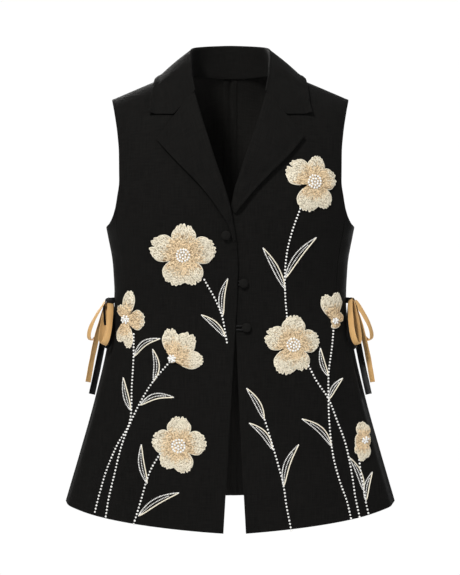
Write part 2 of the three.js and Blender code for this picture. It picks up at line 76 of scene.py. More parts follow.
# ---- the worn form, in millimetres ---------------------------------------------------------
ROUNDNESS = 2.4                # exponent of the body rings: 2 is an ellipse, more is squarer
DOME_BASE = -150.0             # height at which the shoulders start to round over
SHOULDER_FALL = 0.42           # drop of the shoulder line for each millimetre outwards
NECK_REACH = 111.0             # where the shoulder line crosses height zero
NECK_X = 61.5                  # neck point of the shoulder seam
NECK_DROP = 20.0               # depth of the back neck below the shoulder line
NECK_CURVE = 1.65              # exponent of the back neck's line
TIE_LEVEL = -345.0             # waist: side seams end and slits begin
HEM_FRONT = -677.7
HEM_BACK = -664.0
HEM_RISE_FRONT = 31.7
HEM_RISE_BACK = 16.0
LOWEST = -678.0
FORM_BOTTOM = -700.0           # the form's heights, from below the hem to the shoulder line
FORM_TOP = -0.01
PANEL_TOP = -0.02
FOLD_GROW = 140.0              # length over which a fold starts, and over which it fades
FOLD_FADE = 60.0

# level, half width, front depth, back depth, how far the widest line sits back
RINGS = (
    (-700, 272, 140, 124, 0), (-653, 258, 137, 119, 0), (-575, 234, 129, 110, 0),
    (-497, 211, 121, 100, 0), (-418, 191.5, 112, 92, 0), (-345, 178.7, 107, 87, 0),
    (-290, 181, 112, 90, 0), (-229, 191.4, 122, 98, 2), (-190, 196, 124, 102, 4),
    (-150, 199, 122, 104, 6), (0, 203, 122, 104, 12),
)

# level and angle from the centre front: slit, side seam and armhole
FRONT_SIDE = (
    (-678, 75.4), (-497, 79), (-400, 82.5), (-345, 88.5), (-320, 90.1), (-231, 90.1),
    (-229, 80), (-226, 72), (-215, 64), (-203, 60), (-190, 57.5), (-162, 54), (-120, 53.6),
    (-92, 54.6), (-42, 58.3), (0, 62.5),
)
BACK_SIDE = (
    (-678, 101), (-497, 98), (-400, 95), (-345, 91.5), (-320, 89.9), (-231, 89.9),
    (-229, 101), (-223, 109), (-211, 116), (-195, 121), (-165, 125.5), (-120, 127),
    (-92, 126), (-42, 121.7), (0, 117.5),
)

# level and distance of the closing edge from the middle, towards the wearer's left
RIGHT_EDGE = (
    (-678, -10), (-543, -2), (-435, 4.4), (-345, 9.7), (-297, 11.2), (-253, 8.8), (-206, 0.3),
    (-168, -11.2), (-103, -33.6), (-47, -53.5), (-15, -60), (0, -NECK_X),
)
LEFT_EDGE = (
    (-678, 22.4), (-543, 15.1), (-454, 11), (-400, 8.8), (-316, 1), (-245, -3.5), (-208, 0),
    (-180, 6.1), (-136, 20.5), (-103, 33.6), (-47, 53.5), (-15, 60), (0, NECK_X),
)
UNDERLAP = {"depth": 2.9, "hidden": 13, "free": 30, "top": -186, "full": -212,
            "fade": -392, "end": -450}

# folds that fall from the ties: side, angle, spread, height, top, bottom
FOLDS = (
    (-1, 66, 6, 4, -365, -678), (-1, 126, 9, 6, -360, -678), (1, 64, 5, 4, -362, -678),
    (1, 73, 3, -2.5, -360, -520), (1, 122, 8, 5.5, -360, -678), (1, 153, 10, 5, -370, -678),
    (-1, 155, 11, 4.5, -372, -678),
)

# soft troughs and ridges: angle and height at both ends, width, depth
CREASES = (
    (-84, -243, -52, -262, 7, -1.1), (-86, -262, -61, -283, 8, -0.9),
    (-88, -318, -66, -330, 6, -1.0), (-87, -336, -60, -352, 7, 1.0),
    (-30, -300, -8, -322, 9, -0.7), (-36, -398, -16, -600, 15, 1.3),
    (-52, -440, -44, -672, 13, -1.5), (-24, -470, -21, -676, 12, 1.0),
    (-60, -410, -63, -560, 8, -1.1), (84, -240, 58, -257, 8, -1.0), (86, -268, 55, -292, 7, -1.1),
    (87, -322, 62, -338, 8, -0.9), (85, -338, 52, -349, 6, 0.9), (28, -292, 10, -312, 8, -0.6),
    (38, -405, 30, -640, 16, 1.2), (54, -450, 49, -674, 12, -1.4), (20, -430, 24, -560, 13, 0.9),
    (58, -392, 57, -500, 8, -1.0), (-97, -240, -130, -262, 9, -1.3),
    (-94, -300, -132, -322, 8, -1.1), (-96, -338, -140, -341, 9, 1.2),
    (-142, -402, -138, -664, 15, -1.8), (-168, -380, -167, -640, 13, 1.5),
    (-112, -430, -109, -662, 12, -1.6), (97, -244, 127, -259, 9, -1.2),
    (95, -292, 136, -318, 9, -1.2), (96, -334, 134, -345, 8, 1.3),
    (137, -398, 141, -660, 14, -1.9), (170, -392, 171, -655, 12, 1.3),
    (110, -425, 107, -655, 12, -1.5), (150, -110, 118, -175, 11, -1.0),
    (-152, -116, -120, -170, 12, -1.1), (-128, -205, -168, -232, 13, -0.9),
    (128, -208, 166, -226, 12, -0.8),
)
MM_PER_DEGREE = 3.35           # mean length of a degree round the body
PANEL_GRID = (66, 168)         # columns between the crowded ones, and rows
BORDER_COLUMNS = np.array([0.0, 2.0, 4.2, 7.0])
DART_COLUMNS = np.array([-3.4, -1.9, -0.9, 0.0, 0.9, 1.9, 3.4])

# pressed darts: angle, top and bottom, depth, and whether the panel's edge is on the middle
FRONT_DART = {"angle": 60.0, "top": -196, "bottom": -420, "deep": 1.0, "middle": False}
BACK_DART = {"angle": 151.0, "top": -150, "bottom": -470, "deep": 1.1, "middle": True}

# turned edges: rise towards the edge, where it starts and its ease, the stitches' groove
PANEL_RIM = {"rise": 0.28, "start": 9.5, "ease": 2.5, "groove": 6.2, "deep": 0.34}
LAPEL_RIM = {"rise": 2.6, "start": 8.5, "ease": 7.0, "groove": 5.0, "deep": 0.45}
COLLAR_RIM = {**LAPEL_RIM, "rise": 2.2}
GROOVE_WIDTH = 0.8

ALLOWANCE_GAP = 0.3            # under the cloth's inner face
ALLOWANCE_THICK = 0.5
BACK_ALLOWANCE = {"heights": (-662, -52, 120), "across": (-11, 11, 9)}
SIDE_ALLOWANCE = {"heights": (-346, -234, 40), "degrees": (-4.2, 4.2, 9)}
NARROWEST = 0.0101             # least width and least filled share that a cut is given, metres
LEAST_FILL = 0.31

# ---- cut and finish of the pieces, in millimetres ------------------------------------------
CURL = 1.9                     # radius of the roll where a lapel turns back
LAPEL_REST = 3.0               # height of the lapel's middle layer over the front
RIGHT_LAPEL = (                # roll line and outer edge, break to gorge, from the front
    (7.6, -254, 4.2, -256), (3.6, -229, -3, -232), (-0.5, -206, -15, -213),
    (-11.6, -168, -36, -184), (-22.6, -136, -60, -157), (-33.8, -100, -84, -132),
    (-45, -64, -99, -115.5), (-54, -32, -108, -104.5),
)
LEFT_LAPEL = (
    (4.8, -213, 8, -214), (4, -202, 17, -202), (6.6, -180, 36, -180), (11.4, -165, 49, -166),
    (20.9, -136, 66, -148), (33.8, -100, 85, -129), (45, -64, 98.5, -113),
    (54, -32, 107.5, -101.2),
)
COLLAR_FOLD = ((53.5, -80.5, -30), (59, -55, -1), (61.5, -28, 24), (62, 2, 44), (57, 30, 53),
               (40, 53, 59), (19, 64, 62), (0, 67, 63))
COLLAR_EDGE = ((122.3, -82, -63), (118.5, -66, -42), (116, -42, -20), (113, 2, 1), (103, 37, 0),
               (72, 63, -3), (34, 78, -6), (0, 82, -8))
COLLAR_SEAM = ((55.2, -75, -32), (59, -52, -7), (60.5, -27, 5), (61, 2, 9.5), (57.5, 31, 9.5),
               (42, 47, 10), (20, 58, 10), (0, 62, 10))
NOTCH = (82.2, -68.6)          # inner corner between collar and lapel
LEAF_CLEAR = 2.4
LEAF_LENGTH = 45.0             # mean, from the fold to the outer edge
STAND_INSET = (2.4, 2.8)       # from the fold to the top of the stand: down and inwards
NECK_MIDDLE_Y = 20.0

# a button's turned outline, from its shank to its crown: radius and height
BUTTON_PROFILE = ((0.0, 0.8), (1.5, 0.8), (1.6, 2.4), (2.2, 3.3), (4.6, 3.4), (5.9, 3.65),
                  (6.55, 4.1), (6.78, 4.7), (6.6, 5.3), (6.05, 5.85), (5.1, 6.3), (3.8, 6.62),
                  (2.2, 6.78), (0.9, 6.82), (0.0, 6.83))
BUTTON_MIDDLE = 3.8            # height of the outline that lies at the middle of the node's box
BUTTON_ON_LEFT = 10.0          # a button farther out than this is sewn to the tucked left front

RIBBON_WIDTH = 10.0
LOOP_STATIONS = 110            # points along a bow's loop
CORD_ROUND = 10.0              # cloth coordinate once round a cord
BAND_BEHIND = 9.0              # how much farther back the left bow's band runs
# start, tip, half spread, plan angle of the spread, colour; on the wearer's left, then mirrored
BOW_LOOPS = (
    ("tan_loop_outer", (189, -20, -343), (213, -33, -402), 11.5, -40, "tan"),
    ("tan_loop_inner", (184.5, -28, -342), (190, -66, -407), 11.5, 56, "tan"),
    ("black_loop", (184, -22, -343), (187, -57, -413), 10.0, -150, "black"),
)
BOW_TAILS = (
    ("tan_tail", 45, ((188, -21, -345), (201, -31, -388), (209, -37, -425), (216, -41, -466)),
     "tan"),
    ("black_tail", 22, ((187, -10, -345), (195, -13, -398), (202, -25, -440), (211, -33, -485)),
     "black"),
)
# the black ribbon's way from the side seam over the knot and down between the loops
TIE_BAND = ((173, -26, -342), (181, -32, -342), (188, -34, -342.5), (192, -34, -350),
            (190.5, -34, -364), (188.5, -38, -380))

# ---- embroidery, seen from the front, in millimetres ---------------------------------------
# Each petal: direction in degrees, length, width, place of its notch across, notch depth.
FLOWERS = {
    "shoulder": ((123, -167), 9.0, (
        (82, 39, 25, 0.1, 0), (13, 34, 31, -0.1, 0.10), (-62, 43, 27, 0.35, 0.12),
        (-108, 46, 34, 0.25, 0.08), (150, 46, 39, -0.15, 0.22))),
    "chest": ((-69, -275), 9.0, (
        (88, 46, 35, -0.3, 0.14), (14, 49, 39, 0.2, 0.06), (-65, 47, 34, 0.1, 0.10),
        (-113, 47, 39, -0.2, 0.08), (161, 52, 39, 0.1, 0.18))),
    "waist_left": ((92, -407), 9.0, (
        (88, 44, 34, 0.2, 0.08), (13, 40, 33, 0.1, 0.10), (-64, 41, 26, -0.1, 0.20),
        (-113, 46, 35, 0.3, 0.08), (158, 44, 35, 0.0, 0.18))),
    "skirt": ((-75, -553), 9.0, (
        (89, 43, 34, -0.1, 0.08), (10, 41, 34, 0.2, 0.10), (-75, 40, 29, 0.0, 0.12),
        (-125, 38, 27, 0.2, 0.06), (165, 40, 33, -0.1, 0.16))),
    "hip_right": ((-155, -371), 5.0, (
        (118, 25, 15, 0.0, 0.05), (-108, 35, 15, 0.1, 0.06), (-84, 43, 15, -0.1, 0.08),
        (82, 45, 18, 0.1, 0.06), (0, 29, 29, 0.1, 0.08))),
    "side_right": ((-85, -427), 4.6, (
        (95, 45, 25, -0.1, 0.16), (50, 47, 31, 0.3, 0.12), (-3, 46, 26, 0.1, 0.08))),
    "hip_left": ((155, -373), 3.6, (
        (40, 17, 17, 0.0, 0.05), (-72, 11, 14, 0.0, 0.0), (84, 44, 18, 0.1, 0.10),
        (112, 43, 21, 0.1, 0.08))),
    "side_left": ((198, -551), 3.6, (
        (-122, 21, 13, 0.0, 0.05), (178, 13, 22, 0.0, 0.05), (6, 8, 17, 0.0, 0.0),
        (-80, 26, 11, 0.0, 0.06), (-96, 30, 13, 0.0, 0.06), (86, 22, 12, 0.0, 0.05),
        (102, 28, 14, 0.0, 0.06))),
}
STEMS = {
    "shoulder": ((102, -207), (90, -241), (83, -270), (80, -304), (81, -342), (83, -365)),
    "chest": ((-38, -311), (-21, -342), (-12, -365), (-5, -403)),
    "hip_right": ((-143, -392), (-143, -427), (-145, -468), (-148, -522), (-166, -554),
                  (-182, -590), (-193, -628), (-199, -653)),
    "side_right": ((-89, -432), (-110, -457), (-129, -486), (-148, -525), (-160, -557),
                   (-170, -598), (-178, -632), (-182, -658)),
    "skirt": ((-102, -565), (-115, -587), (-122, -605), (-129, -630), (-140, -666)),
    "waist_left": ((115, -438), (126, -460), (144, -487), (158, -522), (169, -552), (179, -601),
                   (183, -630), (189, -659)),
    "hip_left": ((154, -378), (151, -408), (145, -449), (144, -491), (145, -524), (150, -569),
                 (160, -607), (170, -635), (176, -660)),
    "young": ((50, -515), (60, -548), (71, -586), (77, -610), (81, -638), (88, -674)),
    "side_left": ((191, -578), (194, -602), (198, -625), (200, -641), (203, -655)),
}
# base, tip, how far the leaf bows to the left of that line
LEAVES = (
    ((81, -308), (126, -249), 5), ((80, -324), (48, -265), -2), ((-11, -363), (-4, -310), 5),
    ((-8, -394), (-42, -363), -3), ((-142, -424), (-104, -398), 7),
    ((-147, -503), (-159, -457), 2), ((-112, -460), (-114, -414), -5),
    ((-132, -495), (-83, -483), 7), ((-121, -607), (-130, -553), 4),
    ((-133, -654), (-75, -620), 5), ((144, -453), (133, -413), 3), ((145, -487), (167, -458), 3),
    ((148, -555), (105, -515), -6), ((49, -514), (24, -470), -3), ((61, -557), (28, -520), -5),
    ((77, -610), (99, -552), 6), ((197, -622), (176, -574), -4), ((200, -637), (210, -598), 3),
)
STITCH_ROW = 2.7               # distance between rows of straw stitches
STITCH_APART = 1.85            # distance between the stitches of a row
STITCH_FLAT = 0.62             # thickness of a stitch as a share of its width
BEAD_APART = 3.9               # in the rings of a flower's centre
LEAF_BEAD_APART = 2.3
RIM_CORD = 0.65                # radius of the cord round a petal, and of a leaf's
LEAF_CORD = 0.88
FORWARD = np.array([0.0, -1.0, 0.0])

# ---- stage, in metres ----------------------------------------------------------------------
CAMERA_LENS = 80.79
CAMERA_SENSOR = 36.0
CAMERA_PLACE = (-0.0005, -2.0, -0.3224)
FLOOR_DROP = 0.74              # below the hem
FLOOR_RADIUS = 2.6
WHITE_LIGHT = 0.22             # strength of the white surround on the piece and in view
WHITE_SEEN = 1.02
# name, place, aim, size, power and colour
LIGHTS = (
    ("key", (-1.1, -2.1, 1.7), (0, 0, -0.3), 0.6, 86.0, (1.0, 0.985, 0.96)),
    ("fill", (1.8, -2.0, 0.3), (0, 0, -0.35), 1.6, 18.0, (0.97, 0.985, 1.0)),
    ("back_left", (-0.8, 2.5, 1.0), (0, 0, -0.3), 1.2, 85.0, (1.0, 0.99, 0.97)),
    ("back_right", (1.0, 2.4, 0.2), (0, 0, -0.3), 1.2, 36.0, (0.98, 0.99, 1.0)),
)


# ---- numbers along lines -------------------------------------------------------------------
def through(level, value, at):
    """Monotone cubic through a table: the slope at a row is the harmonic mean of its two sides."""
    level = np.asarray(level, float)
    value = np.asarray(value, float)
    at = np.clip(at, level[0], level[-1])
    i = np.clip(np.searchsorted(level, at, side="right") - 1, 0, len(level) - 2)
    slope = np.diff(value) / np.diff(level)
    before, after = slope[:-1], slope[1:]
    total = np.where(np.abs(before + after) < 1e-9, 1, before + after)
    inner = np.where(before * after > 0, 2 * before * after / total, 0)
    tangent = np.concatenate([slope[:1], inner, slope[-1:]])
    span = (level[1:] - level[:-1])[i]
    t = (at - level[i]) / span
    return ((1 + 2 * t) * (1 - t) ** 2 * value[i] + t * (1 - t) ** 2 * span * tangent[i]
            + t * t * (3 - 2 * t) * value[i + 1] + t * t * (t - 1) * span * tangent[i + 1])


def column(table, level):
    """Value at a level of a table of (level, value) rows."""
    rows = np.array(table, float)
    return through(rows[:, 0], rows[:, 1], level)


def ring(key, level):
    """Column of the body rings at a level: 1 half width, 2 front, 3 back, 4 shift."""
    rows = np.array(RINGS, float)
    return through(rows[:, 0], rows[:, key], level)


def line_through(points, at):
    """Smooth line through points, at values from 0 to 1: cubics whose slope at each point is
    the chord's between its neighbours, weighed by the square roots of their distances."""
    p = np.asarray(points, float)
    last = len(p) - 1
    steps = np.sqrt(np.linalg.norm(np.diff(p, axis=0), axis=1))
    knots = np.concatenate([[0], np.cumsum(steps)])
    slope = np.gradient(p, knots, axis=0)
    place = np.clip(np.asarray(at, float), 0, 1) * last
    i = np.minimum(place.astype(int), last - 1)
    t = (place - i)[:, None]
    span = (knots[1:] - knots[:-1])[i][:, None]
    return ((1 + 2 * t) * (1 - t) ** 2 * p[i] + t * (1 - t) ** 2 * span * slope[i]
            + t * t * (3 - 2 * t) * p[i + 1] + t * t * (t - 1) * span * slope[i + 1])


def smooth(t):
    """S-curve from 0 to 1: three t squared less two t cubed."""
    t = np.clip(t, 0, 1)
    return t * t * (3 - 2 * t)


def mix(a, b, t):
    """Value a share t of the way from a to b."""
    return a + (b - a) * t


def unit(v):
    """Vectors along the last axis, made one long."""
    return v / np.maximum(np.linalg.norm(v, axis=-1, keepdims=True), 1e-9)


def running(line):
    """Length run along a line at each of its points."""
    return np.concatenate([[0], np.cumsum(np.linalg.norm(np.diff(line, axis=0), axis=1))])


def circle(sides):
    """Angles of so many even steps round a circle."""
    return 2 * np.pi * np.arange(sides) / sides


def even_line(points, spacing):
    """Points at equal distances along a dense line, by its running length."""
    run = running(points)
    count = max(int(round(run[-1] / spacing)), 2)
    at = np.linspace(0, run[-1], count)
    return np.stack([np.interp(at, run, points[:, k]) for k in range(points.shape[1])], -1)


# ---- the worn form -------------------------------------------------------------------------
def stage_of(height):
    """Level, depth share and rounding-over of a height: above the dome's base the height is an
    angle over the shoulder, whose sine gives the level and whose cosine the depth."""
    turn = np.clip((height - DOME_BASE) / -DOME_BASE, 0, 1) * np.pi / 2
    level = np.where(height <= DOME_BASE, height, DOME_BASE * (1 - np.sin(turn)))
    return level, np.cos(turn), np.sin(turn) ** 2


def form_point(angle, height):
    """Point of the outer cloth: a superellipse ring, x by the sine and y by the cosine of the
    angle to the power 2 over the roundness, dropped outwards along the shoulder."""
    angle, height = np.broadcast_arrays(np.asarray(angle, float), np.asarray(height, float))
    level, depth, over = stage_of(height)
    turn = np.radians(np.abs(angle))
    side = np.where(angle < 0, -1, 1)
    front = np.cos(turn) >= 0
    reach = np.where(front, ring(2, level), ring(3, level)) * depth
    x = ring(1, level) * np.abs(np.sin(turn)) ** (2 / ROUNDNESS)
    y = -reach * np.where(front, 1, -1) * np.abs(np.cos(turn)) ** (2 / ROUNDNESS)
    z = level - over * SHOULDER_FALL * (x - NECK_REACH)
    return np.stack([side * x, y + ring(4, level), z], -1)


def form_normal(angle, height):
    """Outward unit normal: the cross product of the steps round and up the form."""
    step = 0.5
    top = np.minimum(height + step, FORM_TOP)
    along = form_point(angle + step, height) - form_point(angle - step, height)
    up = form_point(angle, top) - form_point(angle, height - step)
    return unit(np.cross(along, up))


def relief(angle, height, tucked, softness):
    """Height of the folds, creases and underlap: bell curves across each fold's line, faded at
    its ends, plus the step that tucks the left front under the right one."""
    angle, height = np.broadcast_arrays(np.asarray(angle, float), np.asarray(height, float))
    out = np.zeros(angle.shape)
    for side, middle, spread, lift, top, bottom in FOLDS:
        near = (np.abs(angle) - middle) / spread
        grow = smooth((top - height) / FOLD_GROW)
        keep = smooth((height - bottom) / FOLD_FADE + (1 if bottom < HEM_BACK else 0))
        out += np.where(np.sign(angle) == side, lift * np.exp(-near * near) * grow * keep, 0)
    for from_angle, from_height, to_angle, to_height, wide, deep in CREASES:
        run = np.array([(to_angle - from_angle) * MM_PER_DEGREE, to_height - from_height])
        long = np.hypot(*run)
        across = (angle - from_angle) * MM_PER_DEGREE
        down = height - from_height
        along = (across * run[0] + down * run[1]) / long
        off = (across * run[1] - down * run[0]) / long
        share = np.clip(along / long, 0, 1)
        swell = np.sin(np.pi * share) ** 0.7
        out += softness * deep * swell * np.exp(-(off / wide) ** 2)
    if tucked:
        x = form_point(angle, height)[..., 0]
        across = 1 - smooth((x - UNDERLAP["hidden"]) / (UNDERLAP["free"] - UNDERLAP["hidden"]))
        down = smooth((UNDERLAP["top"] - height) / (UNDERLAP["top"] - UNDERLAP["full"]))
        up = smooth((height - UNDERLAP["end"]) / (UNDERLAP["fade"] - UNDERLAP["end"]))
        out -= UNDERLAP["depth"] * across * down * up
    return out


def angle_of(x, level):
    """Angle round the body of a distance from the middle: the ring's formula turned round."""
    share = np.minimum(np.abs(x) / ring(1, level), 1) ** (ROUNDNESS / 2)
    return np.sign(x) * np.degrees(np.arcsin(share))


def front_place(x, z):
    """Angle and height of the cloth seen at x, z from the front, by halving the height."""
    x, z = np.broadcast_arrays(np.asarray(x, float), np.asarray(z, float))
    low = np.full(x.shape, FORM_BOTTOM)
    high = np.full(x.shape, FORM_TOP)
    for _ in range(34):
        middle = (low + high) / 2
        level, _, over = stage_of(middle)
        under = level - over * SHOULDER_FALL * (np.abs(x) - NECK_REACH) < z
        low = np.where(under, middle, low)
        high = np.where(under, high, middle)
    height = (low + high) / 2
    return angle_of(x, stage_of(height)[0]), height


def on_front(x, z, lift, softness, tucked=False):
    """Points over the front cloth at x, z seen from the front, raised along the normal."""
    angle, height = front_place(x, z)
    normal = form_normal(angle, height)
    rise = lift + relief(angle, height, tucked, softness)
    return form_point(angle, height) + normal * np.asarray(rise)[..., None], normal


def clearance(q):
    """Rough signed distance from the form and the way out of it, by its slope."""
    def value(p):
        level = p[..., 2].copy()
        for _ in range(12):
            over = np.maximum(0, 1 - level / DOME_BASE) ** 2
            level = p[..., 2] + over * SHOULDER_FALL * (np.abs(p[..., 0]) - NECK_REACH)
        at = np.clip(level, FORM_BOTTOM, 0)
        shift = ring(4, at)
        reach = np.where(p[..., 1] < shift, ring(2, at), ring(3, at))
        wide = np.minimum(np.abs(p[..., 0]) / ring(1, at), 0.99)
        deep = np.abs(p[..., 1] - shift) / (reach * (1 - wide ** ROUNDNESS) ** (1 / ROUNDNESS))
        return np.hypot(deep, np.maximum(0, 1 - level / DOME_BASE)) - 1

    step = 0.5
    moves = np.eye(3) * step
    slope = np.stack([value(q + m) - value(q - m) for m in moves], -1) / (2 * step)
    size = np.maximum(np.linalg.norm(slope, axis=-1), 1e-9)
    return value(q) / size, slope / size[..., None]


def keep_clear(q, gap):
    """Points moved out until they are a gap away from the form."""
    for _ in range(4):
        distance, away = clearance(q)
        q = q + away * np.maximum(gap - distance, 0)[..., None]
    return q


# ---- meshes --------------------------------------------------------------------------------
def grid_quads(rows, cols, closed=False):
    """Corner numbers of the quads of a grid of points, closed round its columns if asked."""
    r, c = np.meshgrid(np.arange(rows - 1), np.arange(cols if closed else cols - 1), indexing="ij")
    a = r * cols + c
    b = r * cols + (c + 1) % cols
    return np.stack([a, b, b + cols, a + cols], -1).reshape(-1, 4)


def border_loop(rows, cols):
    """Numbers of a grid's border points, once round."""
    number = np.arange(rows * cols).reshape(rows, cols)
    return np.concatenate([number[0, :-1], number[:-1, -1], number[-1, :0:-1], number[:0:-1, 0]])


def end_caps(sides, count):
    """Triangles from the first and the last ring of points to the two poles numbered after them."""
    k = np.arange(sides)
    k2 = (k + 1) % sides
    last = count - sides
    return np.concatenate([np.stack([np.full(sides, count), k2, k], -1),
                           np.stack([np.full(sides, count + 1), last + k, last + k2], -1)])


def outward(points, faces):
    """Faces turned so that the volume they enclose is positive."""
    volume = 0.0
    for f in faces:
        a, b, c = points[f[:, 0]], points[f[:, 1]], points[f[:, 2]]
        volume += np.einsum("ij,ij->", a, np.cross(b, c))
        if f.shape[1] == 4:
            d = points[f[:, 3]]
            volume += np.einsum("ij,ij->", a, np.cross(c, d))
    return faces if volume > 0 else [f[:, ::-1] for f in faces]


def new_piece(name, shape, finishes, values=None, face_finish=None):
    """A mesh object at the origin, riding on the one body, from a shape: its points and cloth
    coordinates in millimetres and its faces."""
    points, faces, uv = shape
    faces = outward(points, faces)
    mesh = bpy.data.meshes.new(name)
    corners = np.concatenate([f.ravel() for f in faces]).astype(np.int32)
    sides = np.concatenate([np.full(len(f), f.shape[1]) for f in faces])
    mesh.vertices.add(len(points))
    mesh.vertices.foreach_set("co", (points * MM).astype(np.float32).ravel())
    mesh.loops.add(len(corners))
    mesh.loops.foreach_set("vertex_index", corners)
    mesh.polygons.add(len(sides))
    starts = np.concatenate([[0], np.cumsum(sides)[:-1]])
    mesh.polygons.foreach_set("loop_start", starts.astype(np.int32))
    mesh.polygons.foreach_set("use_smooth", np.ones(len(sides), bool))
    for each in finishes:
        mesh.materials.append(finish(each))
    if face_finish is not None:
        mesh.polygons.foreach_set("material_index", face_finish.astype(np.int32))
    mesh.update(calc_edges=True)
    if uv is not None:
        layer = mesh.uv_layers.new(name="Threads")
        layer.data.foreach_set("uv", (uv[corners] * MM).astype(np.float32).ravel())
    for key, value in (values or {}).items():
        layer = mesh.attributes.new(key, "FLOAT", "POINT")
        layer.data.foreach_set("value", value.astype(np.float32))
    mesh.validate()
    piece = bpy.data.objects.new(name, mesh)
    bpy.context.collection.objects.link(piece)
    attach(piece, "root")
    return piece


def grid_normals(grid):
    """Unit normals of a grid of points: the cross product of its two directions."""
    across = np.gradient(grid, axis=1)
    along = np.gradient(grid, axis=0)
    return unit(np.cross(across, along))


def wall(middle, thick, uv, rounds=5, normals=None):
    """Closed wall round a grid of middle points: two faces half a thickness to each side and a
    half-round edge, its own middle half a thickness in from the grid's border."""
    rows, cols = middle.shape[:2]
    loop = border_loop(rows, cols)
    inside = np.clip(np.stack([loop // cols, loop % cols]), 1, [[rows - 2], [cols - 2]])
    middle = middle.copy()
    flat = middle.reshape(-1, 3)
    normals = (grid_normals(middle) if normals is None else normals).reshape(-1, 3)
    tangent = unit(np.roll(flat[loop], -1, axis=0) - np.roll(flat[loop], 1, axis=0))
    out = unit(np.cross(tangent, normals[loop]))
    inward = flat[inside[0] * cols + inside[1]]
    if np.sum(out * (flat[loop] - inward)) < 0:
        out = -out
    half = thick / 2
    flat[loop] -= out * half
    turn = np.pi * np.arange(1, rounds) / rounds
    rings = (flat[loop][None] + half * np.cos(turn)[:, None, None] * normals[loop][None]
             + half * np.sin(turn)[:, None, None] * out[None])
    points = np.concatenate([flat + half * normals, flat - half * normals, rings.reshape(-1, 3)])
    count = len(loop)
    first = rows * cols
    ring_numbers = np.concatenate([
        loop[None], 2 * first + np.arange((rounds - 1) * count).reshape(rounds - 1, count),
        first + loop[None]])
    a, b = ring_numbers[:-1], ring_numbers[1:]
    edge = np.stack([b, np.roll(b, -1, 1), np.roll(a, -1, 1), a], -1).reshape(-1, 4)
    quads = grid_quads(rows, cols)
    faces = [quads, quads[:, ::-1] + first, edge]
    uv = uv.reshape(-1, 2)
    return points, faces, np.concatenate([uv, uv, np.tile(uv[loop], (rounds - 1, 1))])


def flat_lengths(grid, start=None):
    """Running length along each row and along the columns, as cloth coordinates."""
    step = np.linalg.norm(np.diff(grid, axis=1), axis=2)
    across = np.concatenate([np.zeros((len(grid), 1)), np.cumsum(step, axis=1)], axis=1)
    if start is not None:
        across = across * np.sign(start.sum() or 1) + start[:, None]
    rise = np.linalg.norm(np.diff(grid, axis=0), axis=2).mean(axis=1)
    along = np.concatenate([[0], np.cumsum(rise)])
    return np.stack([across, np.broadcast_to(along[:, None], across.shape)], -1)


def tube(line, radius, sides, upright):
    """A round section carried along a line, with its ends closed: each ring is set square to
    the line, its second axis as near as can be to the upright."""
    tangent = unit(np.gradient(line, axis=0))
    side = unit(np.cross(tangent, upright))
    top = np.cross(side, tangent)
    turn = circle(sides)
    rings = (line[:, None] + radius * (np.cos(turn)[None, :, None] * side[:, None]
                                       + np.sin(turn)[None, :, None] * top[:, None]))
    points = np.concatenate([rings.reshape(-1, 3), line[:1], line[-1:]])
    faces = [grid_quads(len(line), sides, closed=True), end_caps(sides, len(line) * sides)]
    run = running(line)
    round_by = turn[None] / (2 * np.pi) * CORD_ROUND
    uv = np.stack(np.broadcast_arrays(round_by, run[:, None]), -1).reshape(-1, 2)
    return points, faces, np.concatenate([uv, [[0, 0], [0, run[-1]]]])


def joined(parts):
    """Several (points, faces, uv) shapes as one: corner numbers shifted past those before."""
    points, uvs, faces = [], [], []
    start = 0
    for p, f, uv in parts:
        points.append(p)
        uvs.append(uv)
        faces += [each + start for each in f]
        start += len(p)
    quads = [f for f in faces if f.shape[1] == 4]
    tris = [f for f in faces if f.shape[1] == 3]
    merged = [np.concatenate(group) for group in (quads, tris) if group]
    return np.concatenate(points), merged, np.concatenate(uvs)


def repeated(template, places, axes):
    """Copies of a small shape: its points times each copy's three axes, plus its place."""
    shape, faces = template
    count = len(places)
    points = np.einsum("vk,nkd->nvd", shape, axes) + places[:, None]
    shift = (np.arange(count) * len(shape))[:, None, None]
    return points.reshape(-1, 3), [(f[None] + shift).reshape(-1, f.shape[1]) for f in faces]


def bead_shape():
    """Unit ball of few faces: rings of latitude between two poles."""
    sides, bands = 8, 4
    lat = np.pi * np.arange(1, bands + 1) / (bands + 1) - np.pi / 2
    turn = circle(sides)
    rings = np.stack([np.cos(lat)[:, None] * np.cos(turn), np.cos(lat)[:, None] * np.sin(turn),
                      np.broadcast_to(np.sin(lat)[:, None], (bands, sides))], -1).reshape(-1, 3)
    points = np.concatenate([rings, [[0, 0, -1], [0, 0, 1]]])
    return points, [grid_quads(bands, sides, closed=True), end_caps(sides, bands * sides)]


def stitch_shape():
    """Unit spindle along x: two rings of four points between two tips."""
    ring_at = np.array([-0.55, 0.55])
    turn = circle(4) + np.pi / 4
    rings = np.stack(np.broadcast_arrays(ring_at[:, None], np.cos(turn), np.sin(turn)), -1)
    points = np.concatenate([rings.reshape(-1, 3), [[-1, 0, 0], [1, 0, 0]]])
    return points, [grid_quads(2, 4, closed=True), end_caps(4, 8)]


# ---- finishes ------------------------------------------------------------------------------
class Value:
    """A socket of a finish's nodes, with arithmetic on it as Math nodes."""

    def __init__(self, finish, socket):
        self.finish = finish
        self.socket = socket

    def maths(self, operation, first, second):
        return self.finish.node("ShaderNodeMath", {"operation": operation}, {0: first, 1: second})

    def __add__(self, other):
        return self.maths("ADD", self, other)

    def __sub__(self, other):
        return self.maths("SUBTRACT", self, other)

    def __rsub__(self, other):
        return self.maths("SUBTRACT", other, self)

    def __mul__(self, other):
        return self.maths("MULTIPLY", self, other)


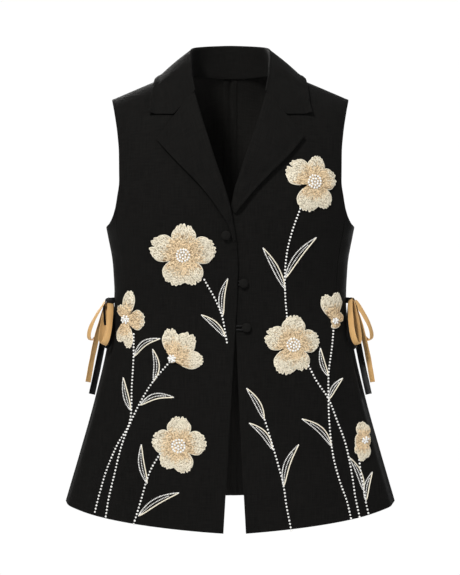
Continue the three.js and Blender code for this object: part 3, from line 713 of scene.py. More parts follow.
class Finish:
    """A material under construction: its one shader and a way to add any other node."""

    def __init__(self, name, constants):
        self.material = bpy.data.materials.new(name)
        self.material.use_nodes = True
        self.tree = self.material.node_tree
        self.shader = self.tree.nodes["Principled BSDF"]
        for socket, value in constants.items():
            self.shader.inputs[socket].default_value = value

    def node(self, kind, settings=None, sockets=None, output=0):
        made = self.tree.nodes.new(kind)
        for key, value in (settings or {}).items():
            setattr(made, key, value)
        for key, value in (sockets or {}).items():
            if isinstance(value, Value):
                self.tree.links.new(value.socket, made.inputs[key])
            else:
                made.inputs[key].default_value = value
        return Value(self, made.outputs[output])

    def threads(self):
        """Cloth coordinates of the piece, in metres, apart as across and along."""
        uv = self.node("ShaderNodeUVMap", {"uv_map": "Threads"})
        across = self.node("ShaderNodeSeparateXYZ", {}, {0: uv})
        along = self.node("ShaderNodeSeparateXYZ", {}, {0: uv}, output=1)
        return uv, across, along

    def value(self, name):
        """A number that the mesh carries at its points."""
        return self.node("ShaderNodeAttribute", {"attribute_name": name}, output=2)

    def wave(self, along, pitch):
        """A sine from 0 to 1 that repeats at each pitch, in metres."""
        return self.maths_one("SINE", along * (2 * math.pi / pitch)) * 0.5 + 0.5

    def maths_one(self, operation, first):
        return self.node("ShaderNodeMath", {"operation": operation}, {0: first})

    def noise(self, vector, stretch, detail=2.0):
        """Soft noise, its coordinates multiplied by three numbers first."""
        moved = self.node("ShaderNodeVectorMath", {"operation": "MULTIPLY"},
                          {0: vector, 1: stretch})
        return self.node("ShaderNodeTexNoise", {},
                         {"Vector": moved, "Scale": 1.0, "Detail": detail})

    def between(self, share, first, second):
        """Colour a share of the way from the first to the second."""
        return self.node("ShaderNodeMix", {"data_type": "RGBA"}, {0: share, 6: first, 7: second},
                         output=2)

    def ease(self, value, low, high):
        """Value brought from low..high to 0..1."""
        return self.node("ShaderNodeMapRange", {}, {0: value, 1: low, 2: high, 3: 0.0, 4: 1.0})

    def out(self, colour=None, roughness=None, height=None, deep=0.0, coat=None):
        """Links what varies to the shader, a height through a Bump node."""
        for key, value in (("Base Color", colour), ("Roughness", roughness), ("Coat Weight", coat)):
            if value is not None:
                self.tree.links.new(value.socket, self.shader.inputs[key])
        if height is not None:
            bump = self.node("ShaderNodeBump", {},
                             {"Strength": 1.0, "Distance": deep, "Height": height})
            self.tree.links.new(bump.socket, self.shader.inputs["Normal"])
        return self.material


def rgba(colour, share=1.0):
    """A stored colour as four numbers, made darker or lighter by a share."""
    return (colour[0] * share, colour[1] * share, colour[2] * share, 1.0)


def woven_cloth(name, colour, pitch, deep, slub):
    """Plain weave: warp and weft waves that take turns, thicker threads here and there."""
    f = Finish(name, {"Specular IOR Level": 0.07, "Sheen Weight": 0.012, "Sheen Roughness": 0.5})
    uv, across, along = f.threads()
    warp = f.wave(across, pitch)
    weft = f.wave(along, pitch)
    weave = warp * (1 - weft) + weft * (1 - warp)
    thick_weft = f.noise(uv, (44.0, 980.0, 1.0))
    thick_warp = f.noise(uv, (900.0, 36.0, 1.0))
    slubs = f.ease(thick_weft * 0.5 + thick_warp * 0.5, 0.38, 0.62)
    cloud = f.noise(uv, (9.0, 7.0, 1.0), 3.0)
    tone = slubs * slub + weave * 0.25 + cloud * 0.35
    shade = f.between(f.ease(tone, 0.15, 1.0), rgba(colour, 0.45), rgba(colour, 1.55))
    return f.out(shade, slubs * 0.12 + 0.78, weave * 0.6 + slubs * 0.5, deep)


def satin_ribbon(name, colour, gloss):
    """Ribbed satin: fine ribs across the ribbon, a firm edge on both sides, a soft bloom."""
    f = Finish(name, {"Specular IOR Level": gloss, "Sheen Weight": 0.1, "Sheen Roughness": 0.35})
    uv, across, along = f.threads()
    ribs = f.wave(along, 0.0011)
    centre = f.maths_one("ABSOLUTE", across - RIBBON_WIDTH * MM / 2)
    edge = f.ease(centre, RIBBON_WIDTH * MM * 0.42, RIBBON_WIDTH * MM * 0.47)
    streak = f.noise(uv, (900.0, 22.0, 1.0))
    tone = ribs * 0.25 + streak * 0.5 + edge * 0.2
    shade = f.between(f.ease(tone, 0.1, 0.85), rgba(colour, 0.78), rgba(colour, 1.15))
    return f.out(shade, streak * 0.15 + 0.38, ribs * (1 - edge) + edge * 1.6, 0.00012)


def straw(name, cream, tan):
    """Straw stitches: cream to tan by the mesh's tint, each stitch a little lighter or darker,
    with fine fibres along it. Low lightness runs to a dark brown: painted shade where the
    petals' ground shows between the stitches."""
    f = Finish(name, {"Specular IOR Level": 0.35, "Sheen Weight": 0.08})
    place = f.node("ShaderNodeTexCoord", {}, {}, output=3)
    fibre = f.noise(place, (2600.0, 2600.0, 2600.0))
    colour = f.between(f.value("tint"), rgba(cream), rgba(tan))
    light = f.value("shade") + f.ease(fibre, 0.3, 0.7) * 0.16 - 0.08
    # dark brown for low lightness: painted shade in the petals' ground between stitches, and the
    # darker random stitches
    dark = f.between(f.value("tint"), (0.30, 0.24, 0.15, 1), (0.26, 0.15, 0.06, 1))
    shade = f.between(light, dark, colour)
    return f.out(shade, fibre * 0.2 + 0.42, fibre, 0.00018)


def pearl_bead(name, colour):
    """Glazed bead: clouded white under a thin clear coat."""
    f = Finish(name, {"Specular IOR Level": 0.5, "Coat Roughness": 0.12})
    place = f.node("ShaderNodeTexCoord", {}, {}, output=3)
    cloud = f.noise(place, (210.0, 210.0, 210.0))
    shade = f.between(f.ease(cloud, 0.35, 0.65), rgba(colour, 0.86), rgba(colour, 1.03))
    return f.out(shade, cloud * 0.12 + 0.2, None, 0.0, f.ease(cloud, 0.0, 1.6))


def thread_cord(name, colour, pitch):
    """Twisted cord: slanting strands round a thread, from its own round and along values."""
    f = Finish(name, {"Specular IOR Level": 0.3, "Sheen Weight": 0.1})
    uv, across, along = f.threads()
    strand = f.wave(along + across * (pitch / (CORD_ROUND * MM)), pitch)
    worn = f.noise(uv, (300.0, 160.0, 1.0))
    tone = f.ease(strand * 0.6 + worn * 0.6, 0.1, 0.95)
    shade = f.between(tone, rgba(colour, 0.9), rgba(colour, 1.07))
    return f.out(shade, worn * 0.2 + 0.5, strand, 0.00025)


# ---- sizes and colours a user can change ---------------------------------------------------
def colour_property(label, text, value):
    """A stored colour with its words."""
    return FloatVectorProperty(name=label, description=text, default=value, subtype="COLOR",
                               size=3, min=0.0, max=1.0)


class WaistcoatSizes(bpy.types.PropertyGroup):
    """Sizes of the cloth and the beadwork."""

    cloth: FloatProperty(name="Cloth", description="Wall of a panel", default=0.0016,
                         unit="LENGTH", min=0.001, max=0.003)
    ribbon: FloatProperty(name="Ribbon", description="Thickness of a ribbon", default=0.0006,
                          unit="LENGTH", min=0.0003, max=0.002)
    softness: FloatProperty(name="Creases", description="Depth of the soft creases, as a share",
                            default=1.0, subtype="FACTOR", min=0.0, max=2.0)
    bead: FloatProperty(name="Stem bead", description="Diameter of a stem's beads", default=0.0031,
                        unit="LENGTH", min=0.001, max=0.008)
    pitch: FloatProperty(name="Bead pitch", description="Distance between a stem's beads",
                         default=0.0048, unit="LENGTH", min=0.001, max=0.02)
    stitch: FloatProperty(name="Stitch", description="Length of a straw stitch", default=0.0052,
                          unit="LENGTH", min=0.002, max=0.02)
    seed: IntProperty(name="Seed", description="Start of the stitches' irregular lie", default=7)


class WaistcoatColours(bpy.types.PropertyGroup):
    """Colours of the cloth, ribbons, straw and beads."""

    cloth: colour_property("Cloth", "Woven black cloth", (0.0047, 0.0045, 0.0042))
    tan: colour_property("Tan ribbon", "Satin ribbon", (0.70, 0.425, 0.175))
    black: colour_property("Black ribbon", "Satin ribbon", (0.004, 0.004, 0.0045))
    cream: colour_property("Cream straw", "Outer half of a petal", (0.93, 0.86, 0.70))
    peach: colour_property("Tan straw", "Inner half of a petal", (0.92, 0.72, 0.46))
    bead: colour_property("Beads", "Stem and centre beads", (0.95, 0.945, 0.92))


FINISHES = {}


def finish(name):
    """The named material, made once from the stored colours."""
    colours = bpy.context.scene.waistcoat_colours
    makers = {
        "black_cloth": (woven_cloth, colours.cloth, 0.0009, 0.0002, 0.8),
        # inner faces: the black cloth made 2.6 times lighter, painted light in the shaded hollow
        "black_lining": (woven_cloth, rgba(colours.cloth, 2.6), 0.0006, 0.00008, 0.4),
        # covered buttons: the black cloth made 1.7 times lighter, a painted highlight on the domes
        "black_button": (woven_cloth, rgba(colours.cloth, 1.7), 0.0007, 0.0001, 0.5),
        "black_ribbon": (satin_ribbon, colours.black, 0.25),
        "tan_ribbon": (satin_ribbon, colours.tan, 0.3),
        "straw": (straw, colours.cream, colours.peach),
        "pearl": (pearl_bead, colours.bead),
        "cream_cord": (thread_cord, colours.cream, 0.0016),
        "black_cord": (thread_cord, colours.black, 0.0012),
    }
    if name not in FINISHES:
        maker, *settings = makers[name]
        FINISHES[name] = maker(name, *settings)
    return FINISHES[name]


def sizes():
    """The stored sizes."""
    return bpy.context.scene.waistcoat_sizes


# ---- panels --------------------------------------------------------------------------------
def edge_run(table, heights):
    """Length along an outer edge at each of its heights."""
    return running(form_point(column(table, stage_of(heights)[0]), heights))


def panel_grid(side, near_of, table, hem, rise, seam_line):
    """Angle and height of a panel's points. Rows join the edge near the middle to the outer
    edge, matched by their share of the edges' lengths; columns crowd at both edges and at the
    pressed line."""
    count, rows = PANEL_GRID
    dense = np.concatenate([np.linspace(LOWEST, -240, 300), np.linspace(-239.5, -180, 240),
                            np.linspace(-179, PANEL_TOP, 200)])
    run = edge_run(table, dense)
    share = np.linspace(0, 1, rows - 6)
    end = 2.0 / run[-1]
    share = np.concatenate([[0, end, 2.2 * end], share[1:-1], [1 - 2.2 * end, 1 - end, 1]])
    share = np.sort(share)
    far_height = np.interp(share * run[-1], run, dense)
    near_height = np.interp(share, [0, 1], [LOWEST, PANEL_TOP])
    near_height = mix(near_height, far_height, 0.35)
    down_near = np.clip((TIE_LEVEL - near_height) / (TIE_LEVEL - LOWEST), 0, 1)
    down_far = np.clip((TIE_LEVEL - far_height) / (TIE_LEVEL - LOWEST), 0, 1)
    near = np.where(near_height > TIE_LEVEL, near_height, mix(TIE_LEVEL, hem, down_near))
    far = np.where(far_height > TIE_LEVEL, far_height, mix(TIE_LEVEL, hem, down_far))
    far = far + rise * down_far ** 1.5
    start = near_of(stage_of(near)[0])
    stop = side * column(table, stage_of(far)[0])
    wide = np.abs(stop - start) * MM_PER_DEGREE
    first = BORDER_COLUMNS[None] / wide[:, None]
    last = 1 - BORDER_COLUMNS[None, ::-1] / wide[:, None]
    pressed = (seam_line - np.abs(start)) / (np.abs(stop) - np.abs(start))
    pressed = np.clip(pressed, 0.15, 0.86)
    close = DART_COLUMNS[None] / wide[:, None] + pressed[:, None]
    left = int(count * 0.62)
    low = mix(first[:, -1:], close[:, :1], np.linspace(0, 1, left + 2)[None, 1:-1])
    high = mix(close[:, -1:], last[:, :1], np.linspace(0, 1, count - left + 2)[None, 1:-1])
    shares = np.concatenate([first, low, close, high, last], axis=1)
    angle = mix(start[:, None], stop[:, None], shares)
    height = mix(near[:, None], far[:, None], shares)
    return angle, height


def border_distance(across, along):
    """Distance of each grid point from the grid's border, in the flat cloth."""
    rim_u = np.concatenate([across[0], across[-1], across[:, 0], across[:, -1]])
    rim_v = np.concatenate([along[0], along[-1], along[:, 0], along[:, -1]])
    nearest = np.full(across.shape, 1e9)
    for start in range(0, len(rim_u), 64):
        u = rim_u[start:start + 64]
        v = rim_v[start:start + 64]
        d = np.hypot(across[..., None] - u, along[..., None] - v).min(axis=-1)
        nearest = np.minimum(nearest, d)
    return nearest


def press_line(angle, height, side, line):
    """A pressed line: a narrow trough with a soft shoulder on both sides, faded at its ends."""
    off = (angle * side - line["angle"]) * MM_PER_DEGREE
    fade = smooth((line["top"] - height) / 18) * smooth((height - line["bottom"]) / 60)
    return fade * (0.35 * np.exp(-(off / 5) ** 2) - line["deep"] * np.exp(-(off / 1.1) ** 2))


def stitched_edge(inset, cut):
    """Height of the cloth at a distance inside its turned edge: a rise that starts at a distance
    and eases in, with the groove of the stitches in it."""
    groove = np.exp(-((inset - cut["groove"]) / GROOVE_WIDTH) ** 2)
    return cut["rise"] * smooth((cut["start"] - inset) / cut["ease"]) - cut["deep"] * groove


def cut_size(grid):
    """Widest and longest measure of a piece of cloth along its grid, in metres."""
    width = np.linalg.norm(np.diff(grid, axis=1), axis=2).sum(axis=1)
    length = np.linalg.norm(np.diff(grid, axis=0), axis=2).sum(axis=0)
    return float(width.max()) * MM, float(length.max()) * MM


def cloth_panel(name, side, near_of, table, hem, rise, tucked, pressed):
    """One front or back: the form, its folds, a turned edge and a pressed line, as a wall."""
    soft = sizes().softness
    thick = sizes().cloth / MM
    angle, height = panel_grid(side, near_of, table, hem, rise, pressed["angle"])
    normal = form_normal(angle, height)
    bare = form_point(angle, height)
    uv = flat_lengths(bare, bare[:, 0, 0])
    uv[..., 1] = height
    inset = border_distance(angle * MM_PER_DEGREE, height)
    lift = relief(angle, height, tucked, soft) + stitched_edge(inset, PANEL_RIM)
    lift += press_line(angle, height, side, pressed)
    outer = bare + normal * lift[..., None]
    if pressed["middle"]:
        keep = side * np.maximum(side * outer[..., 0], -0.1)
        outer[..., 0] = np.where(np.abs(outer[..., 0]) < 30, keep, outer[..., 0])
    outer[-1, :, 1] += (-1 if pressed["middle"] else 1) * thick / 2
    middle = outer - normal * thick / 2
    shape = wall(middle, thick, uv, normals=normal)
    # inner faces take the lightened lining, painted light inside the hollow
    lined = np.repeat([0, 1, 0], [len(faces) for faces in shape[1]])
    piece = new_piece(name + "_cloth", shape, ("black_cloth", "black_lining"),
                      face_finish=lined)
    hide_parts(name)
    cells = np.cross(outer[1:, :-1] - outer[:-1, :-1], outer[:-1, 1:] - outer[:-1, :-1])


def allowance(name, angle, height, mirror=1):
    """A pressed-open seam allowance inside the body: a thin strip a gap under the form, worked
    out on the wearer's left and turned over where the mirror is minus one."""
    point = form_point(angle * mirror, height)
    normal = form_normal(angle * mirror, height)
    turned = np.stack(np.broadcast_arrays(mirror, 1, 1), -1)
    lift = relief(angle, height, False, sizes().softness) - sizes().cloth / MM - ALLOWANCE_GAP
    grid = (point + normal * lift[..., None]) * turned
    shape = wall(grid, ALLOWANCE_THICK, flat_lengths(grid), rounds=3)
    # the allowance takes the lightened lining too, painted light inside the hollow
    piece = new_piece(name, shape, ("black_lining",))
    declare_cloth(grid)


def allowances():
    """Allowances of the centre back seam and of both side seams."""
    height = np.linspace(*BACK_ALLOWANCE["heights"])[:, None]
    x = np.linspace(*BACK_ALLOWANCE["across"])[None]
    mirror = np.where(x < 0, -1, 1)
    angle = mirror * (180 - angle_of(np.abs(x), stage_of(height)[0]))
    allowance("centre_back_allowance", angle, height, mirror)
    height = np.linspace(*SIDE_ALLOWANCE["heights"])[:, None]
    for hand, side in (("right", -1), ("left", 1)):
        angle = side * (90 + np.linspace(*SIDE_ALLOWANCE["degrees"])[None])
        allowance(f"side_allowance_{hand}", angle, height)


def front_near(edge):
    """The angle of a front's closing edge, as a function of the level."""
    return lambda level: angle_of(column(edge, level), level)


def back_neck(level):
    """Half width of the back neck at a level."""
    share = 1 - np.clip(-level / NECK_DROP, 0, 1) ** NECK_CURVE
    return np.maximum(NECK_X * share, 0.0)


# ---- lapels and collar ---------------------------------------------------------------------
def lapel(name, side, table):
    """A lapel from its roll to its outer edge: a half turn of cloth at the roll, then a flat
    part that sinks from the roll's height to its rest, with a low ridge inside its edge."""
    rows = 64
    at = np.linspace(0, 1, rows)
    lines = np.array(table, float)
    roll = line_through(lines[:, :2], at)
    edge = line_through(lines[:, 2:], at)
    long = np.linalg.norm(edge - roll, axis=1)
    upward = unit(np.gradient(roll, axis=0))
    square = side * np.stack([upward[:, 1], -upward[:, 0]], -1)
    radius = CURL * smooth(long / 16)
    turn = np.linspace(0, np.pi, 9)
    curl_along = -radius[:, None] * np.sin(turn)[None] + radius[:, None] * 0.9
    curl_lift = radius[:, None] * (1 - np.cos(turn))[None]
    share = np.concatenate([np.linspace(0, 0.94, 26)[1:], [0.96, 0.98, 1.0]])
    start = roll + square * curl_along[:, -1:]
    top = curl_lift[:, -1:]
    inset = (1 - share)[None] * long[:, None]
    settle = np.exp(-(share[None] * long[:, None] / 13) ** 2)
    belly = 0.9 * np.sin(np.pi * share)[None] * smooth(long / 60)[:, None]
    rim = stitched_edge(inset, LAPEL_RIM)
    flat_lift = LAPEL_REST + (top - LAPEL_REST) * settle + belly + rim * smooth(long / 20)[:, None]
    lift = np.concatenate([curl_lift, flat_lift], axis=1)
    curled = roll[:, None] + square[:, None] * curl_along[..., None]
    laid = start[:, None] + (edge - start)[:, None] * share[None, :, None]
    place = np.concatenate([curled, laid], axis=1)
    grid, normal = on_front(place[..., 0], place[..., 1], 0, 0.0)
    grid = grid + normal * lift[..., None]
    shape = wall(grid, sizes().cloth / MM, flat_lengths(grid))
    piece = new_piece(name + "_cloth", shape, ("black_cloth",))
    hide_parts(name)
    declare_cloth(grid)


def declare_cloth(grid):
    """Works out a piece's widest and longest measure along the cloth and its area, and keeps none
    of them.
    """
    one = np.cross(grid[1:, :-1] - grid[:-1, :-1], grid[:-1, 1:] - grid[:-1, :-1])
    other = np.cross(grid[:-1, 1:] - grid[1:, 1:], grid[1:, :-1] - grid[1:, 1:])
    doubled = np.linalg.norm(one, axis=2).sum() + np.linalg.norm(other, axis=2).sum()
    width, length = cut_size(grid)
    flat = (max(width, NARROWEST), length)
    whole = flat[0] * flat[1]
    area = float(np.clip(doubled / 2 * MM * MM, LEAST_FILL * whole, whole))


def both_sides(rows):
    """Points from the right front end over the back to the left one."""
    left = np.array(rows, float)
    return np.concatenate([left * [-1, 1, 1], left[-2::-1]])


def collar():
    """Stand, roll and leaf as one cloth: up from the neck seam, half a turn over the fold and
    down to the outer edge, whose ends bend to the notch and out to the point."""
    stations = 150
    t = np.linspace(0, 1, stations)
    fold = line_through(both_sides(COLLAR_FOLD), t)
    edge = line_through(both_sides(COLLAR_EDGE), t)
    seam = line_through(both_sides(COLLAR_SEAM), t)
    near_end = 1 - smooth(np.minimum(t, 1 - t) / 0.14)
    side = np.where(t < 0.5, -1, 1)
    share = np.sort(np.concatenate([np.linspace(0, 0.93, 24), [0.955, 0.98, 1.0]]))
    leaf = fold[:, None] + (edge - fold)[:, None] * share[None, :, None]
    bend = np.minimum(share / 0.5, (1 - share) / 0.5)[None] * near_end[:, None]
    straight = (fold + edge) / 2
    leaf[..., 0] += (side * NOTCH[0] - straight[:, 0])[:, None] * bend
    leaf[..., 2] += (NOTCH[1] - straight[:, 2])[:, None] * bend
    leaf[..., 1] -= 4 * bend
    hang = np.sin(np.pi * share)[None] * (1 - near_end)[:, None]
    leaf[..., 2] += 2.5 * hang
    leaf = keep_clear(leaf, LEAF_CLEAR)
    rim = stitched_edge((1 - share) * LEAF_LENGTH, COLLAR_RIM)
    inward = np.stack([-fold[:, 0], NECK_MIDDLE_Y - fold[:, 1], np.zeros(stations)], -1)
    top = fold + unit(inward) * STAND_INSET[1] - [0, 0, STAND_INSET[0]]
    rise = np.linspace(0, 1, 9)
    stand = seam[:, None] + (top - seam)[:, None] * rise[None, :, None]
    hollow = unit(inward)[:, None] * (1.2 * np.sin(np.pi * rise))[None, :, None]
    stand = stand - hollow * (1 - near_end)[:, None, None]
    turn = np.linspace(0, np.pi, 8)[1:-1]
    centre = (top + leaf[:, 0]) / 2
    half = (top - leaf[:, 0]) / 2
    roll = (centre[:, None] + half[:, None] * np.cos(turn)[None, :, None]
            + np.array([0, 0, 1.7]) * np.sin(turn)[None, :, None])
    grid = np.concatenate([stand, roll, leaf], axis=1)
    normal = grid_normals(grid)
    lift = np.zeros(grid.shape[:2])
    lift[:, -len(share):] = rim[None]
    facing = np.sign(np.sum(normal[:, -6] * (grid[:, -6] - [0, NECK_MIDDLE_Y, 20]), axis=1).mean())
    grid = grid + normal * (facing * lift)[..., None]
    shape = wall(grid, sizes().cloth / MM, flat_lengths(grid))
    piece = new_piece("collar_cloth", shape, ("black_cloth",))
    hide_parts("collar_leaf", "collar_stand")
    declare_cloth(grid)


# ---- buttons -------------------------------------------------------------------------------
def node_box(name):
    """Centre and half size of a node's box, in millimetres."""
    low, high = (np.array(corner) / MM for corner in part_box(name))
    return (low + high) / 2, (high - low) / 2


def covered_button(name):
    """A cloth-covered button on its shank: a domed cap with a tight waist, turned round the
    cloth's normal, its cover drawn in by shallow pleats under the rim."""
    centre, _ = node_box(name)
    on_left_front = centre[0] > BUTTON_ON_LEFT
    foot, normal = on_front(centre[0], centre[2], 0, 0.0, on_left_front)
    profile = np.array(BUTTON_PROFILE)
    sides = 40
    turn = circle(sides)
    pleat = 1 + 0.035 * np.sin(turn * 10)[None] * np.exp(-((profile[:, 1:] - 3.8) / 0.7) ** 2)
    first = unit(np.cross(normal, [0.0, 0, 1]))
    second = np.cross(normal, first)
    radius = profile[:, :1] * pleat
    shift = float(np.dot(centre - foot, normal)) - BUTTON_MIDDLE
    points = (foot + normal * shift + radius[..., None] * (np.cos(turn)[None, :, None] * first
              + np.sin(turn)[None, :, None] * second) + profile[:, 1, None, None] * normal)
    body = points[1:-1].reshape(-1, 3)
    poles = np.stack([points[0, 0], points[-1, 0]])
    faces = [grid_quads(len(profile) - 2, sides, closed=True), end_caps(sides, len(body))]
    points = np.concatenate([body, poles])
    uv = np.stack([(points - foot) @ first, (points - foot) @ second], -1)
    # the cover's lighter cloth is a painted highlight
    piece = new_piece(name + "_cover", (points, faces, uv), ("black_button",))
    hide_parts(name)


def button_loop(name):
    """The cord loop that holds a button, from inside the right edge round its shank and back."""
    edge = float(column(RIGHT_EDGE, node_box(name)[0][2]))
    x, _, z = node_box(name.replace("_loop", ""))[0]
    places = ((edge + 0.8, 2.6), (edge + 3, 2.7), (x - 1, 2.9), (x + 2.4, 1.6), (x + 3, 0),
              (x + 2.4, -1.6), (x - 1, -2.9), (edge + 3, -2.7), (edge + 0.8, -2.6))
    flat = np.array([(a, z + b) for a, b in places])
    line, normal = on_front(flat[:, 0], flat[:, 1], 2.05, 0.0, True)
    line = line_through(line, np.linspace(0, 1, 70))
    shape = tube(line, 0.75, 10, normal.mean(axis=0))
    piece = new_piece(name + "_cord", shape, ("black_cord",))
    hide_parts(name)


# ---- bows ----------------------------------------------------------------------------------
def ribbon_strip(name, node, line, wide_way, colour, wave):
    """A ribbon along a line: its width square to the line, lightly cupped, with an uneven
    ripple along it, as a wall with rounded edges."""
    tangent = unit(np.gradient(line, axis=0))
    wide = unit(wide_way - tangent * np.sum(wide_way * tangent, axis=1, keepdims=True))
    face = np.cross(tangent, wide)
    across = np.array([-0.5, -0.44, -0.3, -0.12, 0.0, 0.12, 0.3, 0.44, 0.5])
    run = running(line)
    ripple = 0.35 * np.sin(run / 9.0 + wave) + 0.25 * np.sin(run / 4.1 + 2 * wave)
    cup = 0.55 * np.cos(np.pi * across)[None] + ripple[:, None] * (across[None] * 1.2)
    grid = (line[:, None] + wide[:, None] * (across * RIBBON_WIDTH)[None, :, None]
            + face[:, None] * cup[..., None])
    uv = np.stack(np.broadcast_arrays((across + 0.5)[None] * RIBBON_WIDTH, run[:, None]), -1)
    shape = wall(grid, sizes().ribbon / MM, uv, rounds=3)
    piece = new_piece(name, shape, (colour + "_ribbon",))
    if node:
        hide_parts(node)


def loop_line(start, tip, full, spread):
    """Out along one strand, round the tip and back: a cosine along the reach, a sine across."""
    turn = np.linspace(0, 2 * np.pi, LOOP_STATIONS)
    out = (1 - np.cos(turn)) / 2
    open_by = full * np.sin(turn) * (0.35 + 0.65 * out) + mix(1.3, -1.3, turn / (2 * np.pi))
    return start + (tip - start) * out[:, None] + spread * open_by[:, None]


def bow(side):
    """One bow: loops and tails of both ribbons and the knot over them."""
    hand = "right" if side < 0 else "left"
    turned = np.array([side, 1.0, 1.0])
    for name, start, tip, full, plan, colour in BOW_LOOPS:
        a = np.array(start, float) * turned
        b = np.array(tip, float) * turned
        reach = unit(b - a)
        spread = np.array([side * math.cos(math.radians(plan)), math.sin(math.radians(plan)), 0])
        spread = unit(spread - reach * np.dot(spread, reach))
        wide = unit(np.cross(spread, reach))
        node = f"{name}_{hand}"
        line = loop_line(a, b, full, spread)
        tip_share = np.sin(np.linspace(0, np.pi, len(line)))[:, None] ** 2
        turned_way = wide + spread * 0.22 * (1 - tip_share) - reach * 0.12 * tip_share
        ribbon_strip(node + "_ribbon", node, line, turned_way, colour, full * 0.7 + plan)
    for name, plan, path, colour in BOW_TAILS:
        line = line_through(np.array(path, float) * turned, np.linspace(0, 1, 90))
        angle = math.radians(plan)
        wide = np.array([side * math.cos(angle), -math.sin(angle), 0])
        node = f"{name}_{hand}"
        ribbon_strip(node + "_ribbon", node, line, wide, colour, plan)
    behind = np.array([0, BAND_BEHIND if side > 0 else 0.0, 0])
    band = line_through(np.array(TIE_BAND, float) * turned + behind, np.linspace(0, 1, 60))
    ribbon_strip(f"tie_band_{hand}", None, band, np.array([-0.2 * side, 0.6, 0.7]), "black", 1.0)
    knot(f"knot_{hand}", "black" if side < 0 else "tan")


def knot(node, colour):
    """A knot of ribbon drawn tight: a rounded barrel whose surface is gathered into ridges that
    run over it, pinched at both ends."""
    centre, half = node_box(node)
    rows, cols = 30, 48
    lat = np.linspace(-np.pi / 2, np.pi / 2, rows + 2)[1:-1]
    turn = circle(cols)
    ridge = 1 - 0.07 * np.abs(np.sin(lat[:, None] * 3.5 + 0.7 * np.sin(turn)[None]))
    ring_size = np.cos(lat)[:, None] ** 0.55 * ridge
    rings = np.stack(np.broadcast_arrays(np.sin(lat)[:, None], ring_size * np.cos(turn),
                                         ring_size * np.sin(turn)), -1).reshape(-1, 3)
    points = np.concatenate([rings, [[-1, 0, 0], [1, 0, 0]]]) * half * 0.98 + centre
    faces = [grid_quads(rows, cols, closed=True), end_caps(cols, rows * cols)]
    across = (np.sin(lat)[:, None] + 1) * RIBBON_WIDTH / 2
    uv = np.stack(np.broadcast_arrays(across, turn[None] * 7), -1).reshape(-1, 2)
    uv = np.concatenate([uv, [[0, 0], [RIBBON_WIDTH, 0]]])
    piece = new_piece(node + "_ribbon", (points, faces, uv), (colour + "_ribbon",))
    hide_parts(node)


# ---- embroidery ----------------------------------------------------------------------------
def flower_sheet(centre):
    """A way to lay a flower on the cloth: from millimetres across and up from its centre, seen
    from the front, and a height, to points over the front."""
    def lay(across, up, lift):
        points, normal = on_front(centre[0] + across, centre[1] + up, 0, sizes().softness)
        return points + normal * np.asarray(lift)[..., None]

    return lay


def petal_place(t, w, petal, order):
    """A petal's point at t from base to tip and w across: narrow at its base, widest at seven
    tenths, round at the tip, its edge lightly scalloped with one deeper notch."""
    direction, length, width, notch, cut = petal
    scallop = 0.026 * np.cos(5.2 * np.pi * w + 1.3 * order)
    scallop = scallop - cut * np.exp(-((w - notch) / 0.11) ** 2)
    along = 0.97 * length * t * (1 - 0.15 * np.abs(w) ** 2.6 * t ** 2) * (1 + t ** 5 * scallop)
    spread = 0.22 + 0.78 * np.sin(np.pi / 2 * np.clip(t / 0.7, 0, 1)) ** 1.15
    spread = spread * (1 - 0.26 * np.clip((t - 0.7) / 0.3, 0, 1) ** 1.7)
    across = width / 2 * w * spread
    a = math.radians(direction)
    return along * math.cos(a) - across * math.sin(a), along * math.sin(a) + across * math.cos(a)


def petal_lift(t, w, order):
    """Height of a petal over the cloth: a low cushion, each petal a little over the last."""
    cushion = np.sqrt(np.clip(1 - np.abs(w) ** 3, 0, 1)) * np.clip(1 - np.abs(2 * t - 1) ** 5, 0, 1)
    return 0.5 + 1.5 * cushion + 0.36 * (order % 2) + 0.12 * order


def petal_surface(lay, petal, order):
    """The petal as a function from t, w and a height over it to points."""
    def at(t, w, extra=0.0):
        across, up = petal_place(t, w, petal, order)
        return lay(across, up, petal_lift(t, w, order) + extra)

    return at


def petal_ground(at, petal, order, long):
    """The straw under a petal's stitches as a closed cushion, with each point's share of tan
    and its lightness, kept low as painted shade in the gaps between stitches."""
    t, w = np.meshgrid(np.linspace(0.03, 1, 22), np.linspace(-1, 1, 21), indexing="ij")
    count = t.size
    top = at(t, w).reshape(-1, 3)
    under = at(t, w, -0.9 - petal_lift(t, w, order) * 0.5).reshape(-1, 3)
    loop = border_loop(*t.shape)
    ahead = np.roll(loop, -1)
    edge = np.stack([ahead, loop, loop + count, ahead + count], -1)
    quads = grid_quads(*t.shape)
    points = np.concatenate([top, under])
    faces = outward(points, [quads, quads[:, ::-1] + count, edge[:, ::-1]])
    tan = np.tile(np.clip(1.05 - t * 1.25 * petal[1] / long, 0, 1).ravel(), 2)
    # low lightness of the ground, lower still in the tan middle: painted shade between the stitches
    return (points, faces, np.zeros((len(points), 2))), tan, 0.56 - 0.34 * tan


def petal_rim(at):
    """The cord round a petal's edge, from a third of the way up one side to the other."""
    w = np.concatenate([-np.ones(26), np.linspace(-1, 1, 60)[1:-1], np.ones(26)])
    t = np.concatenate([np.linspace(0.34, 1, 26), np.ones(58), np.linspace(1, 0.34, 26)])
    return tube(even_line(at(t, w, 0.35), 1.15), RIM_CORD, 6, FORWARD)


